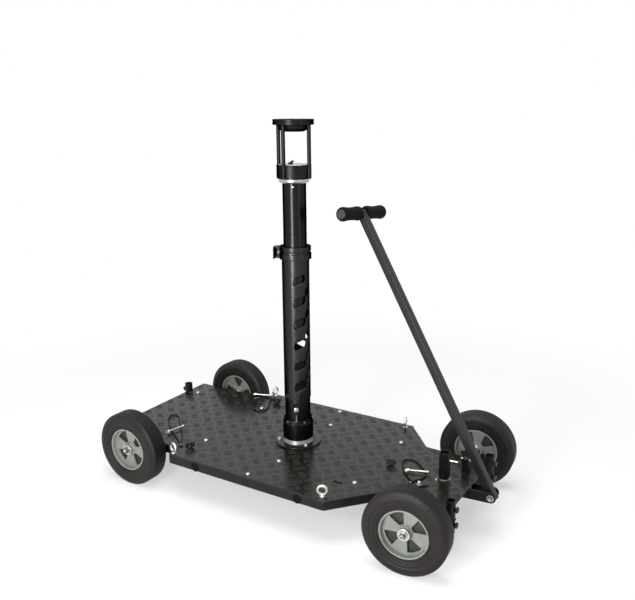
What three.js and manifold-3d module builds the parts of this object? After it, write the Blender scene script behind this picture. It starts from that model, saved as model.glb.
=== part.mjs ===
// Camera dolly: tread plate deck on four solid tyres, pull handle steering,
// and a telescoping camera mast with a slotted lower tube and a bowl head.
// Lengths are millimetres, angles degrees. X runs to the nose (the handle
// end), Y to the far side, Z up. The mast axis is x = 0, y = 0, ground z = 0.
import * as THREE from 'three'
import { mergeVertices } from 'three/addons/utils/BufferGeometryUtils.js'
import Module from 'manifold-3d'
const wasm = await Module()
wasm.setup()
const { Manifold, Mesh: SolidMesh } = wasm

// Deck
const deckTop = 148.6        // top of the tread plate above the ground
const plateThick = 4
const skirtThick = 3.5
const skirtDrop = 31.5       // folded side, measured from the top face
const deckTail = 651         // mast axis to the tail end
const deckNose = 639         // mast axis to the nose end
const bodyHalf = 316         // half width of the wide middle
const bodyTail = 317         // where the wide middle ends, tail side
const bodyNose = 295
const tailStep = 53.5        // how far the tail end is narrower, each side
const noseStep = 134
const tailTaper = 33         // length of the slanted edge between wide and narrow
const noseTaper = 115
const tailHalf = bodyHalf - tailStep
const tailCut = bodyTail + tailTaper
const noseHalf = bodyHalf - noseStep
const noseCut = bodyNose + noseTaper
const cornerRadius = 7
const gap = 0.3              // air left between pieces that touch in life
const play = 0.6             // air round pieces that slide in or turn
const bevel = 1.2            // broken edges of turned rings
const overrun = 1            // how far a cut runs past the face it opens

// Frame under the deck
const railIn = 16            // rail centre, in from the deck's nose half width
const railY = noseHalf - railIn
const railWide = 19
const railTall = 25
const railWall = 2.5
const crossWide = 23
const saddleHalf = 78
const saddleThick = 10
const innerBarBack = 274     // from the nose end
const innerBarX = deckNose - innerBarBack
const drawGate = 75          // half width left free for the drawbar
const receiverX = 202
const receiverZ = 130.5
const receiverRadius = 13.8
const receiverWall = 2.4
const plugThick = 6
const boltTailX = 603
const boltRearX = 281
const boltFrontX = 32
const boltNoseX = 319
const edgeBoltX = 2
const edgeBoltIn = 25        // from the side of the deck
const edgeBoltY = bodyHalf - edgeBoltIn
const boltHead = 7.5
const boltHeadTall = 4.2
const boltShank = 4
const eyeTailBack = 8        // from where the wide middle ends
const eyeTailIn = 16
const eyeNoseBack = 18
const eyeNoseIn = 26
const eyeTailX = bodyTail - eyeTailBack
const eyeTailY = bodyHalf - eyeTailIn
const eyeNoseX = bodyNose - eyeNoseBack
const eyeNoseY = bodyHalf - eyeNoseIn
const eyeRing = 13.5
const eyeWire = 3.6
const eyeFoot = 9
const eyeTurn = 31
const tailKnobX = 286
const tailKnobIn = 73        // from the side of the deck
const tailKnobY = bodyHalf - tailKnobIn
const farKnobX = 256
const farKnobIn = 83
const farKnobY = bodyHalf - farKnobIn
const noseKnobY = 4
const clampBack = 131        // from the nose end
const clampX = deckNose - clampBack
const clampY = 99
const latchBack = 47         // from the nose end
const latchX = deckNose - latchBack
const latchY = 76
const latchHalf = 12
const latchTall = 42
const latchPinHalf = 18
const mastHoleX = 66
const mastHoleY = 63
const mastHole = 4.2
const slotHandX = 274
const slotHandY = -192
const slotHandLong = 34
const slotHandWide = 15

// Push bar sockets at the four end corners
const socketIn = 15.5        // in from the deck's nose half width
const socketY = noseHalf - socketIn
const socketRadius = 15
const socketWall = 2.5
const socketRise = 31.4      // above the plate
const socketTop = deckTop + socketRise
const socketBottom = 75
const socketKnobLow = 103
const socketKnobHigh = 153
const knobScrew = 3
const knobReach = 21
const knobHead = 9.5
const knobHeadTall = 8

// Wheels
const wheelRadius = 130      // 260 mm wheels; the axles run at this height
const tyreWide = 69
const rimRadius = 73.5
const rimWide = 54
const axleRadius = 10
const tailAxleX = 492
const tailTrackOut = 45      // wheel centre, out from the deck's end half width
const noseTrackOut = 120
const armIn = 24.5
const tailTrack = tailHalf + tailTrackOut
const noseTrack = noseHalf + noseTrackOut
const armY = tailHalf - armIn
const armWide = 24
const armTailX = 524
const armNoseX = 236
const armBottom = 108
const windowInner = 25
const windowOuter = 61
const rimLip = 67
const webThick = 9
const webOut = 9
const hubRadius = 17
const hubOut = 31
const nutRadius = 12.5
const nutTall = 9
const washerRadius = 16
const washerThick = 2.4

// Steering
const steerRest = 5.25       // the photo shows the nose turned a little
const steerBack = 82         // kingpin line, from the nose end
const kingOut = 45           // out from the deck's nose half width
const steerX = deckNose - steerBack
const kingY = noseHalf + kingOut
const kingRadius = 6
const barrelRadius = 16
const barrelTop = 137.6
const barrelBottom = 84
const beamHalf = 15
const beamTop = 109.4
const beamTall = 30
const yokeThick = 6
const yokeHalf = 16
const steerArm = 60
const armBarWide = 22
const studRadius = 5
const tieThick = 6
const tieWide = 28
const postBack = 89.5        // from the nose end
const postX = deckNose - postBack
const postSide = 30
const postWall = 2
const postTop = 240
const postFoot = 151
const journalRadius = 14
const postPinZ = 213
const postPinRadius = 4
const postPinOut = 52
const washerWide = 23
const drawTop = 143.9
const drawBottom = 110
const drawReach = 153.5      // post axis to the handle pivot
const cheekIn = 18           // the fork is loose on the handle
const cheekThick = 6
const hubDraw = 22
const webReach = 108
const pivotZ = 127
const pivotBolt = 5
const handleLean = 30.4      // leans back over the deck in the photo
const handleSway = 6         // hangs to the far side in its loose fork
const handleTwist = 8        // and turns a little in it
const handleLong = 964.6     // pivot to the cross bar axis
const handleSide = 25.4
const handleWall = 2
const crossRadius = 11
const crossWall = 2
const gripStart = 15
const gripLong = 96
const gripRadius = 22.6

// Mast
const flangeRadius = 80.5
const flangeTop = 155.1
const ringTop = 168.6
const ringRadius = 50.5
const ringBore = 34
const collarTop = 240
const collarShoulder = 226
const collarRadius = 52.4
const collarScrewTurns = [-46, 38, 118, 242]  // degrees, from the cone plunger
const neckRadius = 43.5
const neckBore = 37
const neckTop = 316
const spigotRadius = 41.2
const spigotTop = 345
const tubeRadius = 45.5
const tubeBore = 41.5
const tubeTop = 815
const slotPitch = 73.6
const slotFirst = 365.3
const slotHigh = 25
const slotRise = 15
const slotSpan = 55          // degrees round the tube
const slotColumns = [-41, 7, 55]
const clampBottom = 800
const clampTop = 842
const clampRadius = 53
const clampGroove = 49.5
const clampBand = 19         // height of the lower, split band
const clampCap = 15
const clampSplit = 2.4
const clampAngle = 207
const lugOut = 69
const lugHalf = 9
const leverLong = 48
const leverThick = 7
const leverTall = 36
const innerRadius = 38.5
const innerBore = 35
const innerBottom = 550
const innerTop = 1047
const bushTall = 16
const bushRadius = 41.2
const headRingRadius = 49.6
const headRingTall = 14
const headRingTop = innerTop + headRingTall
const drumRadius = 56
const drumTall = 43
const drumTop = headRingTop + drumTall
const discRadius = 50
const discSunk = 2.1
const headPostRadius = 58
const headPostSize = 6.4
const cageTall = 123         // open height over the drum
const bowlPlateThick = 17
const plateBottom = drumTop + cageTall
const plateTop = plateBottom + bowlPlateThick
const plateRadius = 65.5
const bowlMouth = 50
const bowlDeep = 38
const bowlFloor = plateTop - bowlDeep
const bowlNeck = 30
const bowlWall = 3.4
const leverBase = 8
const pinZ = 285
const pinAngle = -62
const pinRadius = 6
const bossRadius = 9

// Loose pins and their cords
const lockPinLong = 62
const lockPinRadius = 3.4
const cordRadius = 2.1
const crimpLong = 14
const crimpWide = 11.2
const crimpTall = 5

// Each lock pin hangs on a loop of coated wire that lies on the plate and comes
// back to the crimp it starts from. The points were picked along each loop.
const cordRoutes = {
  cord_tail_near: [
    [-332.7, -242.7], [-336.2, -239.2], [-347, -230], [-367, -215], [-393, -200], [-420, -183], [-451, -162],
    [-482, -136], [-508, -111], [-529.3, -81.2], [-531.2, -70.1], [-525.6, -60.4], [-515, -56.5], [-504.4, -60.4],
    [-490, -73], [-465, -98], [-432, -129], [-400, -160], [-370, -191], [-345, -220], [-332.8, -235.8], [-329.3, -239.3]
  ],
  cord_tail_far: [
    [-288.2, 263.9], [-291.4, 261.5], [-294.5, 254], [-291, 240], [-284, 224], [-275, 208], [-264, 190], [-256, 168],
    [-254, 148], [-264, 134], [-283, 131], [-302, 140], [-318, 163], [-330, 190], [-340, 212], [-344, 232], [-338, 250],
    [-322, 260], [-306, 262], [-299, 263], [-294.2, 265.3], [-291, 267.7]
  ],
  cord_nose: [
    [469.6, -78], [469.6, -74.5], [466, -68], [452, -57], [433, -39], [415, -15], [399, 11], [391, 34], [393, 50],
    [404, 60], [420, 59], [445, 42], [466, 21], [483, 6], [493, -10], [495, -28], [489, -47], [478, -64], [474.4, -74.5],
    [474.4, -78]
  ]
}

// Round parts are drawn with these numbers of facets
const round = 24
const fine = 20
const mid = 10
const few = 8
const hole = 6

// Turns a three.js geometry into a closed indexed one with outward faces.
function tidy(geometry) {
  geometry.deleteAttribute('normal')
  geometry.deleteAttribute('uv')
  const merged = mergeVertices(geometry, 1e-4)
  const index = merged.index.array
  const at = merged.attributes.position
  const kept = []
  for (let i = 0; i < index.length; i += 3) {
    const [a, b, c] = [index[i], index[i + 1], index[i + 2]]
    if (a !== b && b !== c && c !== a) kept.push(a, b, c)
  }
  let volume = 0
  const [p, q, r] = [new THREE.Vector3(), new THREE.Vector3(), new THREE.Vector3()]
  for (let i = 0; i < kept.length; i += 3) {
    p.fromBufferAttribute(at, kept[i])
    q.fromBufferAttribute(at, kept[i + 1])
    r.fromBufferAttribute(at, kept[i + 2])
    volume += p.dot(q.cross(r))
  }
  if (volume < 0) for (let i = 0; i < kept.length; i += 3) kept.splice(i, 3, kept[i], kept[i + 2], kept[i + 1])
  merged.setIndex(kept)
  return merged
}

function solid(geometry) {
  const clean = tidy(geometry)
  const mesh = new SolidMesh({
    numProp: 3,
    vertProperties: Float32Array.from(clean.attributes.position.array),
    triVerts: Uint32Array.from(clean.index.array)
  })
  mesh.merge()
  return new Manifold(mesh)
}

const unite = list => Manifold.union(list)
const cut = (from, list) => from.subtract(Manifold.union(list))

function geometryOf(body) {
  const mesh = body.getMesh()
  const geometry = new THREE.BufferGeometry()
  const places = []
  for (let i = 0; i < mesh.numVert; i++) {
    for (let k = 0; k < 3; k++) places.push(mesh.vertProperties[i * mesh.numProp + k])
  }
  geometry.setAttribute('position', new THREE.Float32BufferAttribute(places, 3))
  geometry.setIndex(Array.from(mesh.triVerts))
  return geometry
}

// A hole drawn with few facets is opened so that its flats clear the shank
const opened = (radius, facets = hole) => (radius + gap) / Math.cos(Math.PI / facets)

// Basic forms, all returned as solids
function box(x0, x1, y0, y1, z0, z1) {
  const form = new THREE.BoxGeometry(x1 - x0, y1 - y0, z1 - z0)
  form.translate((x0 + x1) / 2, (y0 + y1) / 2, (z0 + z1) / 2)
  return solid(form)
}

// Closed profile of [radius, height] points turned about Z
function turned(profile, facets = mid) {
  const points = profile.map(([r, z]) => new THREE.Vector2(r, z))
  points.push(points[0].clone())
  const form = new THREE.LatheGeometry(points, facets)
  form.rotateX(Math.PI / 2)
  return solid(form)
}

const rod = (radius, z0, z1, facets = mid) =>
  turned([[0, z0], [radius, z0], [radius, z1], [0, z1]], facets)
const tube = (outer, inner, z0, z1, facets = mid) =>
  turned([[inner, z0], [outer, z0], [outer, z1], [inner, z1]], facets)

// Rod along Y from y0 to y1 at x, z
const rodY = (radius, x, z, y0, y1, facets = few) =>
  rod(radius, y0, y1, facets).rotate([-90, 0, 0]).translate([x, 0, z])
const rodX = (radius, y, z, x0, x1, facets = few) =>
  rod(radius, x0, x1, facets).rotate([0, 90, 0]).translate([0, y, z])

// Flat outline of [x, y] points raised from z0 to z1
function slab(points, z0, z1, holes = []) {
  const shape = new THREE.Shape(points.map(([x, y]) => new THREE.Vector2(x, y)))
  for (const hole of holes) shape.holes.push(new THREE.Path(hole.map(([x, y]) => new THREE.Vector2(x, y))))
  const form = new THREE.ExtrudeGeometry(shape, { depth: z1 - z0, bevelEnabled: false })
  form.translate(0, 0, z0)
  return solid(form)
}

const circle = (radius, facets, x = 0, y = 0) => Array.from({ length: facets }, (_, i) => {
  const turn = (i / facets) * 2 * Math.PI
  return [x + radius * Math.cos(turn), y + radius * Math.sin(turn)]
})

function hexPrism(radius, z0, z1) {
  return slab(circle(radius, 6), z0, z1)
}

// Rounds every corner of an outline with a short arc of three segments
function rounded(points, radius) {
  const out = []
  points.forEach((corner, i) => {
    const at = new THREE.Vector2(...corner)
    const before = new THREE.Vector2(...points[(i + points.length - 1) % points.length])
    const after = new THREE.Vector2(...points[(i + 1) % points.length])
    const start = at.clone().add(before.sub(at).setLength(radius))
    const end = at.clone().add(after.sub(at).setLength(radius))
    const curve = new THREE.QuadraticBezierCurve(start, at, end)
    for (const step of curve.getPoints(3)) out.push([step.x, step.y])
  })
  return out
}

// Moves every side of a closed outline inwards by a distance
function inset(points, distance) {
  return points.map((corner, i) => {
    const before = points[(i + points.length - 1) % points.length]
    const after = points[(i + 1) % points.length]
    const one = new THREE.Vector2(corner[0] - before[0], corner[1] - before[1]).normalize()
    const two = new THREE.Vector2(after[0] - corner[0], after[1] - corner[1]).normalize()
    const [n1, n2] = [new THREE.Vector2(-one.y, one.x), new THREE.Vector2(-two.y, two.x)]
    const mean = n1.clone().add(n2)
    mean.multiplyScalar((2 * distance) / mean.dot(mean))
    return [corner[0] + mean.x, corner[1] + mean.y]
  })
}

const dolly = new THREE.Group()
dolly.name = 'camera_dolly'

// Real finishes: colour, roughness, metalness
const finishes = {
  treadBlack: [0x2b2d2e, 0.55, 0.2],
  powderBlack: [0x1b1c1d, 0.5, 0.1],
  anodised: [0x1a1a1c, 0.32, 0.5],
  zinc: [0xb8bbb9, 0.35, 0.9],
  aluminium: [0xc3c5c6, 0.3, 0.95],
  handleGrey: [0x3a3c3b, 0.5, 0.3],
  tyreRubber: [0x302d2b, 0.85, 0],
  rimGrey: [0x8f9291, 0.45, 0.2],
  foam: [0x151516, 0.95, 0],
  knobPlastic: [0x131314, 0.45, 0],
  cordCover: [0x141414, 0.6, 0]
}

function add(name, body, finish) {
  const [colour, roughness, metalness] = finishes[finish]
  const geometry = body instanceof THREE.BufferGeometry ? tidy(body) : geometryOf(body)
  geometry.computeVertexNormals()
  const material = new THREE.MeshStandardMaterial({ color: colour, roughness, metalness, flatShading: true })
  material.name = finish
  const mesh = new THREE.Mesh(geometry, material)
  mesh.name = name
  dolly.add(mesh)
}

const deckUnder = deckTop - plateThick
const skirtBottom = deckTop - skirtDrop
const railTop = deckUnder - gap
const railBottom = railTop - railTall
const sides = [['near', -1], ['far', 1]]
const ends = [['tail', -deckTail, -1], ['nose', deckNose, 1]]
const mirrorY = body => body.mirror([0, 1, 0])

// Deck outline, anticlockwise from the tail near corner
const outline = [
  [-deckTail, -tailHalf], [-tailCut, -tailHalf], [-bodyTail, -bodyHalf], [bodyNose, -bodyHalf],
  [noseCut, -noseHalf], [deckNose, -noseHalf], [deckNose, noseHalf], [noseCut, noseHalf],
  [bodyNose, bodyHalf], [-bodyTail, bodyHalf], [-tailCut, tailHalf], [-deckTail, tailHalf]
]
const sunk = inset(outline, skirtThick)
for (const i of [0, 11]) sunk[i][0] = -deckTail - skirtThick
for (const i of [5, 6]) sunk[i][0] = deckNose + skirtThick

// Places where a bolt, screw or post goes through the plate: [x, y, radius]
const boltPlaces = []
for (const [, side] of sides) {
  for (const x of [-boltTailX, -boltRearX, boltFrontX, boltNoseX]) boltPlaces.push([x, side * railY])
  boltPlaces.push([-edgeBoltX, side * edgeBoltY])
}
const eyePlaces = []
for (const [, side] of sides) eyePlaces.push([-eyeTailX, side * eyeTailY], [eyeNoseX, side * eyeNoseY])
const knobPlaces = {
  tail_knob_near: [-tailKnobX, -tailKnobY],
  tail_knob_far: [-farKnobX, farKnobY],
  nose_knob: [innerBarX, -noseKnobY]
}
const clampPlace = [clampX, -clampY]
const through = opened(boltShank)
const plateHoles = [
  ...eyePlaces.map(([x, y]) => [x, y, through]),
  ...Object.values(knobPlaces).map(([x, y]) => [x, y, through]),
  [...clampPlace, through],
  [postX, 0, opened(journalRadius, mid)]
]
for (const sx of [-1, 1]) for (const sy of [-1, 1]) plateHoles.push([sx * mastHoleX, sy * mastHoleY, mastHole])

{
  const slot = rounded([
    [slotHandX - slotHandLong / 2, slotHandY - slotHandWide / 2],
    [slotHandX + slotHandLong / 2, slotHandY - slotHandWide / 2],
    [slotHandX + slotHandLong / 2, slotHandY + slotHandWide / 2],
    [slotHandX - slotHandLong / 2, slotHandY + slotHandWide / 2]
  ], slotHandWide * 0.45)
  const cutters = [slab(sunk, skirtBottom - overrun, deckUnder), slab(slot, deckUnder - overrun, deckTop + overrun)]
  for (const [x, y, radius] of plateHoles) {
    cutters.push(rod(radius, deckUnder - overrun, deckTop + overrun, radius > journalRadius ? mid : hole).translate([x, y, 0]))
  }
  for (const [, x] of ends) {
    for (const [, side] of sides) {
      cutters.push(rod(socketRadius + play, skirtBottom - overrun, deckTop + overrun, mid).translate([x, side * socketY, 0]))
    }
  }
  for (const x of [-receiverX, receiverX]) {
    cutters.push(rodY(receiverRadius + play, x, receiverZ, -bodyHalf - overrun, bodyHalf + overrun, mid))
  }
  cutters.push(rodY(opened(axleRadius, mid), -tailAxleX, wheelRadius, -bodyHalf, bodyHalf, mid))
  const heads = boltPlaces.map(([x, y]) => turned([[0, deckTop - gap], [boltHead, deckTop - gap],
    [boltHead * 0.6, deckTop + boltHeadTall], [0, deckTop + boltHeadTall]], few).translate([x, y, 0]))
  // crimps riveted to the plate, each square to the two ends of its cord
  const crimps = Object.values(cordRoutes).map(points => {
    const [[ax, ay], [bx, by]] = [points[0], points.at(-1)]
    const turn = Math.atan2(by - ay, bx - ax)
    return box(-crimpWide / 2, crimpWide / 2, -crimpLong - gap, -gap, deckTop - overrun, deckTop + crimpTall)
      .rotate([0, 0, THREE.MathUtils.radToDeg(turn)]).translate([(ax + bx) / 2, (ay + by) / 2, 0])
  })
  const plate = cut(slab(rounded(outline, cornerRadius), skirtBottom, deckTop), cutters)
  add('deck_plate', unite([plate, ...heads, ...crimps]), 'treadBlack')
}

// Welded frame: box rails, cross bars, mast saddle, round receivers out to the
// skirts and the four upright push bar sockets at the ends
const tailBarIn = -deckTail + socketRadius + crossWide
const noseBarIn = deckNose - socketRadius - crossWide
{
  const tailSpan = tailHalf - skirtThick - gap
  const noseSpan = noseHalf - skirtThick - gap
  const outSpan = bodyHalf - skirtThick - gap
  const parts = [
    box(tailBarIn - crossWide, tailBarIn, -tailSpan, tailSpan, railBottom, railTop),
    box(noseBarIn, noseBarIn + crossWide, drawGate, noseSpan, railBottom, railTop),
    box(noseBarIn, noseBarIn + crossWide, -noseSpan, -drawGate, railBottom, railTop),
    box(innerBarX - crossWide / 2, innerBarX + crossWide / 2, -railY, railY, railBottom, railTop),
    box(-saddleHalf, saddleHalf, -railY, railY, railTop - saddleThick, railTop)
  ]
  const cutters = [rodY(opened(axleRadius, mid), -tailAxleX, wheelRadius, -bodyHalf, bodyHalf, mid)]
  for (const [, side] of sides) {
    const y = side * railY
    parts.push(box(tailBarIn - gap, noseBarIn + gap, y - railWide / 2, y + railWide / 2, railBottom, railTop))
    cutters.push(box(tailBarIn + railWall, noseBarIn - railWall, y - railWide / 2 + railWall, y + railWide / 2 - railWall,
      railBottom - gap, railTop - railWall))
    const [y0, y1] = side > 0 ? [railY, outSpan] : [-outSpan, -railY]
    parts.push(box(-edgeBoltX - crossWide / 2, crossWide / 2 - edgeBoltX, y0, y1, railBottom, railTop))
    for (const x of [-receiverX, receiverX]) {
      const receiver = turned([[0, railY], [receiverRadius, railY], [receiverRadius, bodyHalf - gap],
        [receiverRadius - receiverWall, bodyHalf - gap], [receiverRadius - receiverWall, bodyHalf - plugThick],
        [0, bodyHalf - plugThick]], mid).rotate([-90, 0, 0]).translate([x, 0, receiverZ])
      parts.push(side > 0 ? receiver : mirrorY(receiver))
    }
    for (const [, x, outward] of ends) {
      parts.push(tube(socketRadius, socketRadius - socketWall, socketBottom, socketTop, mid).translate([x, side * socketY, 0]))
      parts.push(box(Math.min(x, x - outward * (socketRadius + gap)), Math.max(x, x - outward * (socketRadius + gap)),
        side * socketY - socketWall, side * socketY + socketWall, railBottom, railTop))
      cutters.push(rod(socketRadius - socketWall, socketBottom - gap, socketTop + gap, mid).translate([x, side * socketY, 0]))
      for (const z of outward > 0 ? [socketKnobLow, socketKnobHigh] : [socketKnobHigh]) {
        const [x0, x1] = outward > 0 ? [x, x + socketRadius + gap] : [x - socketRadius - gap, x]
        cutters.push(rodX(opened(knobScrew), side * socketY, z, x0, x1, hole))
      }
    }
  }
  for (const [x, y] of [knobPlaces.nose_knob]) {
    cutters.push(rod(through, railBottom - gap, railTop + gap, hole).translate([x, y, 0]))
  }
  add('deck_frame', cut(unite(parts), cutters), 'powderBlack')
}

const flangeBolts = [34.5, 145.5, 214.5, 325.5].map(angle => {
  const turn = THREE.MathUtils.degToRad(angle)
  const reach = (flangeRadius + ringRadius) / 2
  return [reach * Math.cos(turn), reach * Math.sin(turn)]
})

// Four lifting eyes: foot, neck and an upright ring
{
  eyePlaces.forEach(([x, y], i) => {
    const ringZ = deckTop + gap + 2 * eyeWire + eyeRing
    const ring = solid(new THREE.TorusGeometry(eyeRing, eyeWire, 6, 10))
      .rotate([90, 0, 0]).rotate([0, 0, eyeTurn]).translate([0, 0, ringZ])
    const foot = turned([[0, deckTop + gap], [eyeFoot, deckTop + gap], [eyeFoot, deckTop + gap + eyeWire * 0.8],
      [eyeFoot * 0.5, deckTop + 3 * eyeWire], [0, deckTop + 3 * eyeWire]], few)
    const eye = unite([ring, foot, rod(boltShank, railBottom, deckTop + eyeWire, hole)]).translate([x, y, 0])
    add(`eye_bolt_${i % 2 ? 'nose' : 'tail'}_${i < 2 ? 'near' : 'far'}`, eye, 'zinc')
  })
}

// Clamp knobs on the push bar sockets
{
  for (const [end, x, outward] of ends) {
    for (const [side, sign] of sides) {
      const zs = outward > 0 ? [socketKnobLow, socketKnobHigh] : [socketKnobHigh]
      zs.forEach((z, i) => {
        const start = socketRadius + gap
        const lobes = Array.from({ length: 10 }, (_, k) => {
          const turn = (k / 10) * 2 * Math.PI
          const reach = k % 2 ? knobHead * 0.84 : knobHead
          return [reach * Math.cos(turn), reach * Math.sin(turn)]
        })
        const head = slab(lobes, knobReach - knobHeadTall / 2, knobReach + knobHeadTall / 2)
        const neck = turned([[0, start], [knobHead * 0.5, start], [knobHead * 0.62, knobReach - knobHeadTall / 2 + gap],
          [0, knobReach - knobHeadTall / 2 + gap]], few)
        const screw = rod(knobScrew, socketRadius - socketWall + gap, knobReach, hole)
        const knob = unite([head, neck, screw]).rotate([0, outward * 90, 0]).translate([x, sign * socketY, z])
        const level = zs.length > 1 ? ['_low', '_high'][i] : ''
        add(`socket_knob_${end}_${side}${level}`, knob, 'knobPlastic')
      })
    }
  }
}

// Tail axle with its nuts, held by two arms under the deck
{
  const end = tailTrack + hubOut + gap
  const tip = end + nutTall + washerThick + bevel
  const axle = [rodY(axleRadius, -tailAxleX, wheelRadius, -tip, tip, mid)]
  for (const sign of [-1, 1]) {
    const washer = rod(washerRadius, end, end + washerThick, few)
    const nut = hexPrism(nutRadius, end + washerThick, end + washerThick + nutTall * 0.8)
    const both = unite([washer, nut]).rotate([-90, 0, 0]).translate([-tailAxleX, 0, wheelRadius])
    axle.push(sign > 0 ? both : mirrorY(both))
  }
  add('tail_axle', unite(axle), 'zinc')
  for (const [side, sign] of sides) {
    const y = sign * armY
    const [kx, ky] = knobPlaces[`tail_knob_${side}`]
    const cutters = [rodY(opened(axleRadius, mid), -tailAxleX, wheelRadius, -bodyHalf, bodyHalf, mid),
      rod(through, armBottom - overrun, railTop + overrun, hole).translate([kx, ky, 0])]
    const bar = box(-armTailX, -armNoseX, y - armWide / 2, y + armWide / 2, armBottom, railTop)
    add(`axle_arm_${side}`, cut(bar, cutters), 'powderBlack')
  }
}

// One wheel about Z at the origin, outer face towards +Z. Each pair is a share
// of the way from the rim seat to the tread and a share of half the width.
const tyreShares = [[0, 0.78], [0.54, 1], [0.9, 0.86], [1, 0.72]]
function tyreBody() {
  const half = tyreWide / 2
  const seat = rimRadius + gap
  const upper = tyreShares.map(([out, wide]) => [seat + out * (wheelRadius - seat), wide * half])
  const lower = upper.map(([r, z]) => [r, -z]).reverse()
  return turned([...upper, ...lower], round)
}

// Half widths of a window at its inner and outer end, in radians
const narrowTurn = 0.28
const wideTurn = 0.36
function rimBody() {
  const half = rimWide / 2
  const barrel = turned([
    [rimLip - webThick * 0.5, -half], [rimRadius, -half], [rimRadius, half], [rimLip - webThick * 0.5, half]
  ], round)
  const holes = []
  for (let i = 0; i < 4; i++) {
    const centre = i * Math.PI / 2 + Math.PI / 4
    const points = []
    for (let k = 0; k <= 1; k++) {
      const turn = centre - narrowTurn + 2 * narrowTurn * k
      points.push([windowInner * Math.cos(turn), windowInner * Math.sin(turn)])
    }
    for (let k = 2; k >= 0; k--) {
      const turn = centre - wideTurn + wideTurn * k
      points.push([windowOuter * Math.cos(turn), windowOuter * Math.sin(turn)])
    }
    holes.push(points)
  }
  const web = slab(circle(rimLip, round), webOut - webThick / 2, webOut + webThick / 2, holes)
  const hub = turned([[0, -hubOut + gap], [hubRadius, -hubOut + gap], [hubRadius, hubOut - gap], [0, hubOut - gap]], mid)
  return cut(unite([barrel, web, hub]), [rod(opened(axleRadius, mid), -wheelRadius, wheelRadius, mid)])
}

// Where each wheel's spokes stand, in degrees
const spins = { tail_near: 0, tail_far: 30, nose_near: -15, nose_far: 45 }
const tyre = tyreBody()
const rim = rimBody()
// Stands a wheel up facing the near (-1) or far (+1) side, with its spokes set at an angle
const upright = (body, side, spin) => body.rotate([0, 0, spin]).rotate([side < 0 ? 90 : -90, 0, 0])

for (const [side, sign] of sides) {
  const at = [-tailAxleX, sign * tailTrack, wheelRadius]
  const spin = spins[`tail_${side}`]
  add(`tyre_tail_${side}`, upright(tyre, sign, spin).translate(at), 'tyreRubber')
  add(`rim_tail_${side}`, upright(rim, sign, spin).translate(at), 'rimGrey')
}

// Turns a body built for straight running by the steering angle about x, y
const steered = (body, x, y) => body.translate([-x, -y, 0]).rotate([0, 0, steerRest]).translate([x, y, 0])
const wheelArm = noseTrack - kingY

for (const [side, sign] of sides) {
  const at = [steerX, sign * noseTrack, wheelRadius]
  const place = body => steered(body.translate(at), steerX, sign * kingY)
  const spin = spins[`nose_${side}`]
  add(`tyre_nose_${side}`, place(upright(tyre, sign, spin)), 'tyreRubber')
  add(`rim_nose_${side}`, place(upright(rim, sign, spin)), 'rimGrey')
}

// Beam under the nose with a kingpin barrel at each end
{
  const low = beamTop - beamTall
  const parts = [box(steerX - beamHalf, steerX + beamHalf, -kingY, kingY, low, beamTop)]
  const cutters = []
  for (const [, side] of sides) {
    parts.push(rod(barrelRadius, barrelBottom, barrelTop, mid).translate([steerX, side * kingY, 0]))
    parts.push(box(steerX - beamHalf, steerX + beamHalf, side * railY - railWide / 2, side * railY + railWide / 2,
      low, railBottom - gap))
    cutters.push(rod(opened(kingRadius, mid), low - beamTall, barrelTop + gap, mid).translate([steerX, side * kingY, 0]))
  }
  const ends2 = [-1, 1].map(side => box(steerX - 2 * beamHalf, steerX + 2 * beamHalf,
    side * kingY - 2 * barrelRadius, side * kingY + 2 * barrelRadius, low - beamTall, barrelBottom))
  add('steer_beam', cut(unite(parts), [...cutters, ...ends2]), 'powderBlack')
}

// Steering knuckles: yoke round the barrel, kingpin, stub axle and rear arm
const armLow = barrelBottom - gap - yokeThick
for (const [side, sign] of sides) {
  const reach = barrelRadius + 2 * yokeThick - yokeThick * 0.4
  const face = reach - yokeThick
  const stubEnd = wheelArm + hubOut + gap
  const parts = [
    box(-yokeHalf, yokeHalf, -barrelRadius * 0.8, reach, barrelTop + gap, barrelTop + gap + yokeThick),
    box(-yokeHalf, yokeHalf, -barrelRadius * 0.8, reach, armLow, armLow + yokeThick),
    box(-yokeHalf, yokeHalf, face, reach, armLow, barrelTop + gap + yokeThick),
    rod(kingRadius, armLow + gap, barrelTop + 2 * yokeThick, few),
    hexPrism(kingRadius * 1.7, barrelTop + gap + yokeThick, barrelTop + gap + 2 * yokeThick),
    rodY(axleRadius, 0, wheelRadius, face, stubEnd + nutTall + washerThick, mid),
    rodY(washerRadius, 0, wheelRadius, stubEnd, stubEnd + washerThick, few),
    hexPrism(nutRadius, stubEnd + washerThick, stubEnd + washerThick + nutTall * 0.8)
      .rotate([-90, 0, 0]).translate([0, 0, wheelRadius])
  ]
  const arm = slab([[-steerArm, -armBarWide / 2], [0, -armBarWide / 2], [0, armBarWide / 2], [-steerArm, armBarWide / 2]],
    armLow, armLow + yokeThick)
  const tip = rod(armBarWide / 2, armLow, armLow + yokeThick, few).translate([-steerArm, 0, 0])
  const eye = rod(opened(studRadius, few), armLow - gap, barrelBottom + gap, few).translate([-steerArm, 0, 0])
  let knuckle = cut(unite([...parts, arm, tip]), [eye])
  if (sign < 0) knuckle = mirrorY(knuckle)
  add(`knuckle_${side}`, steered(knuckle.translate([steerX, sign * kingY, 0]), steerX, sign * kingY), 'powderBlack')
}

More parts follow.
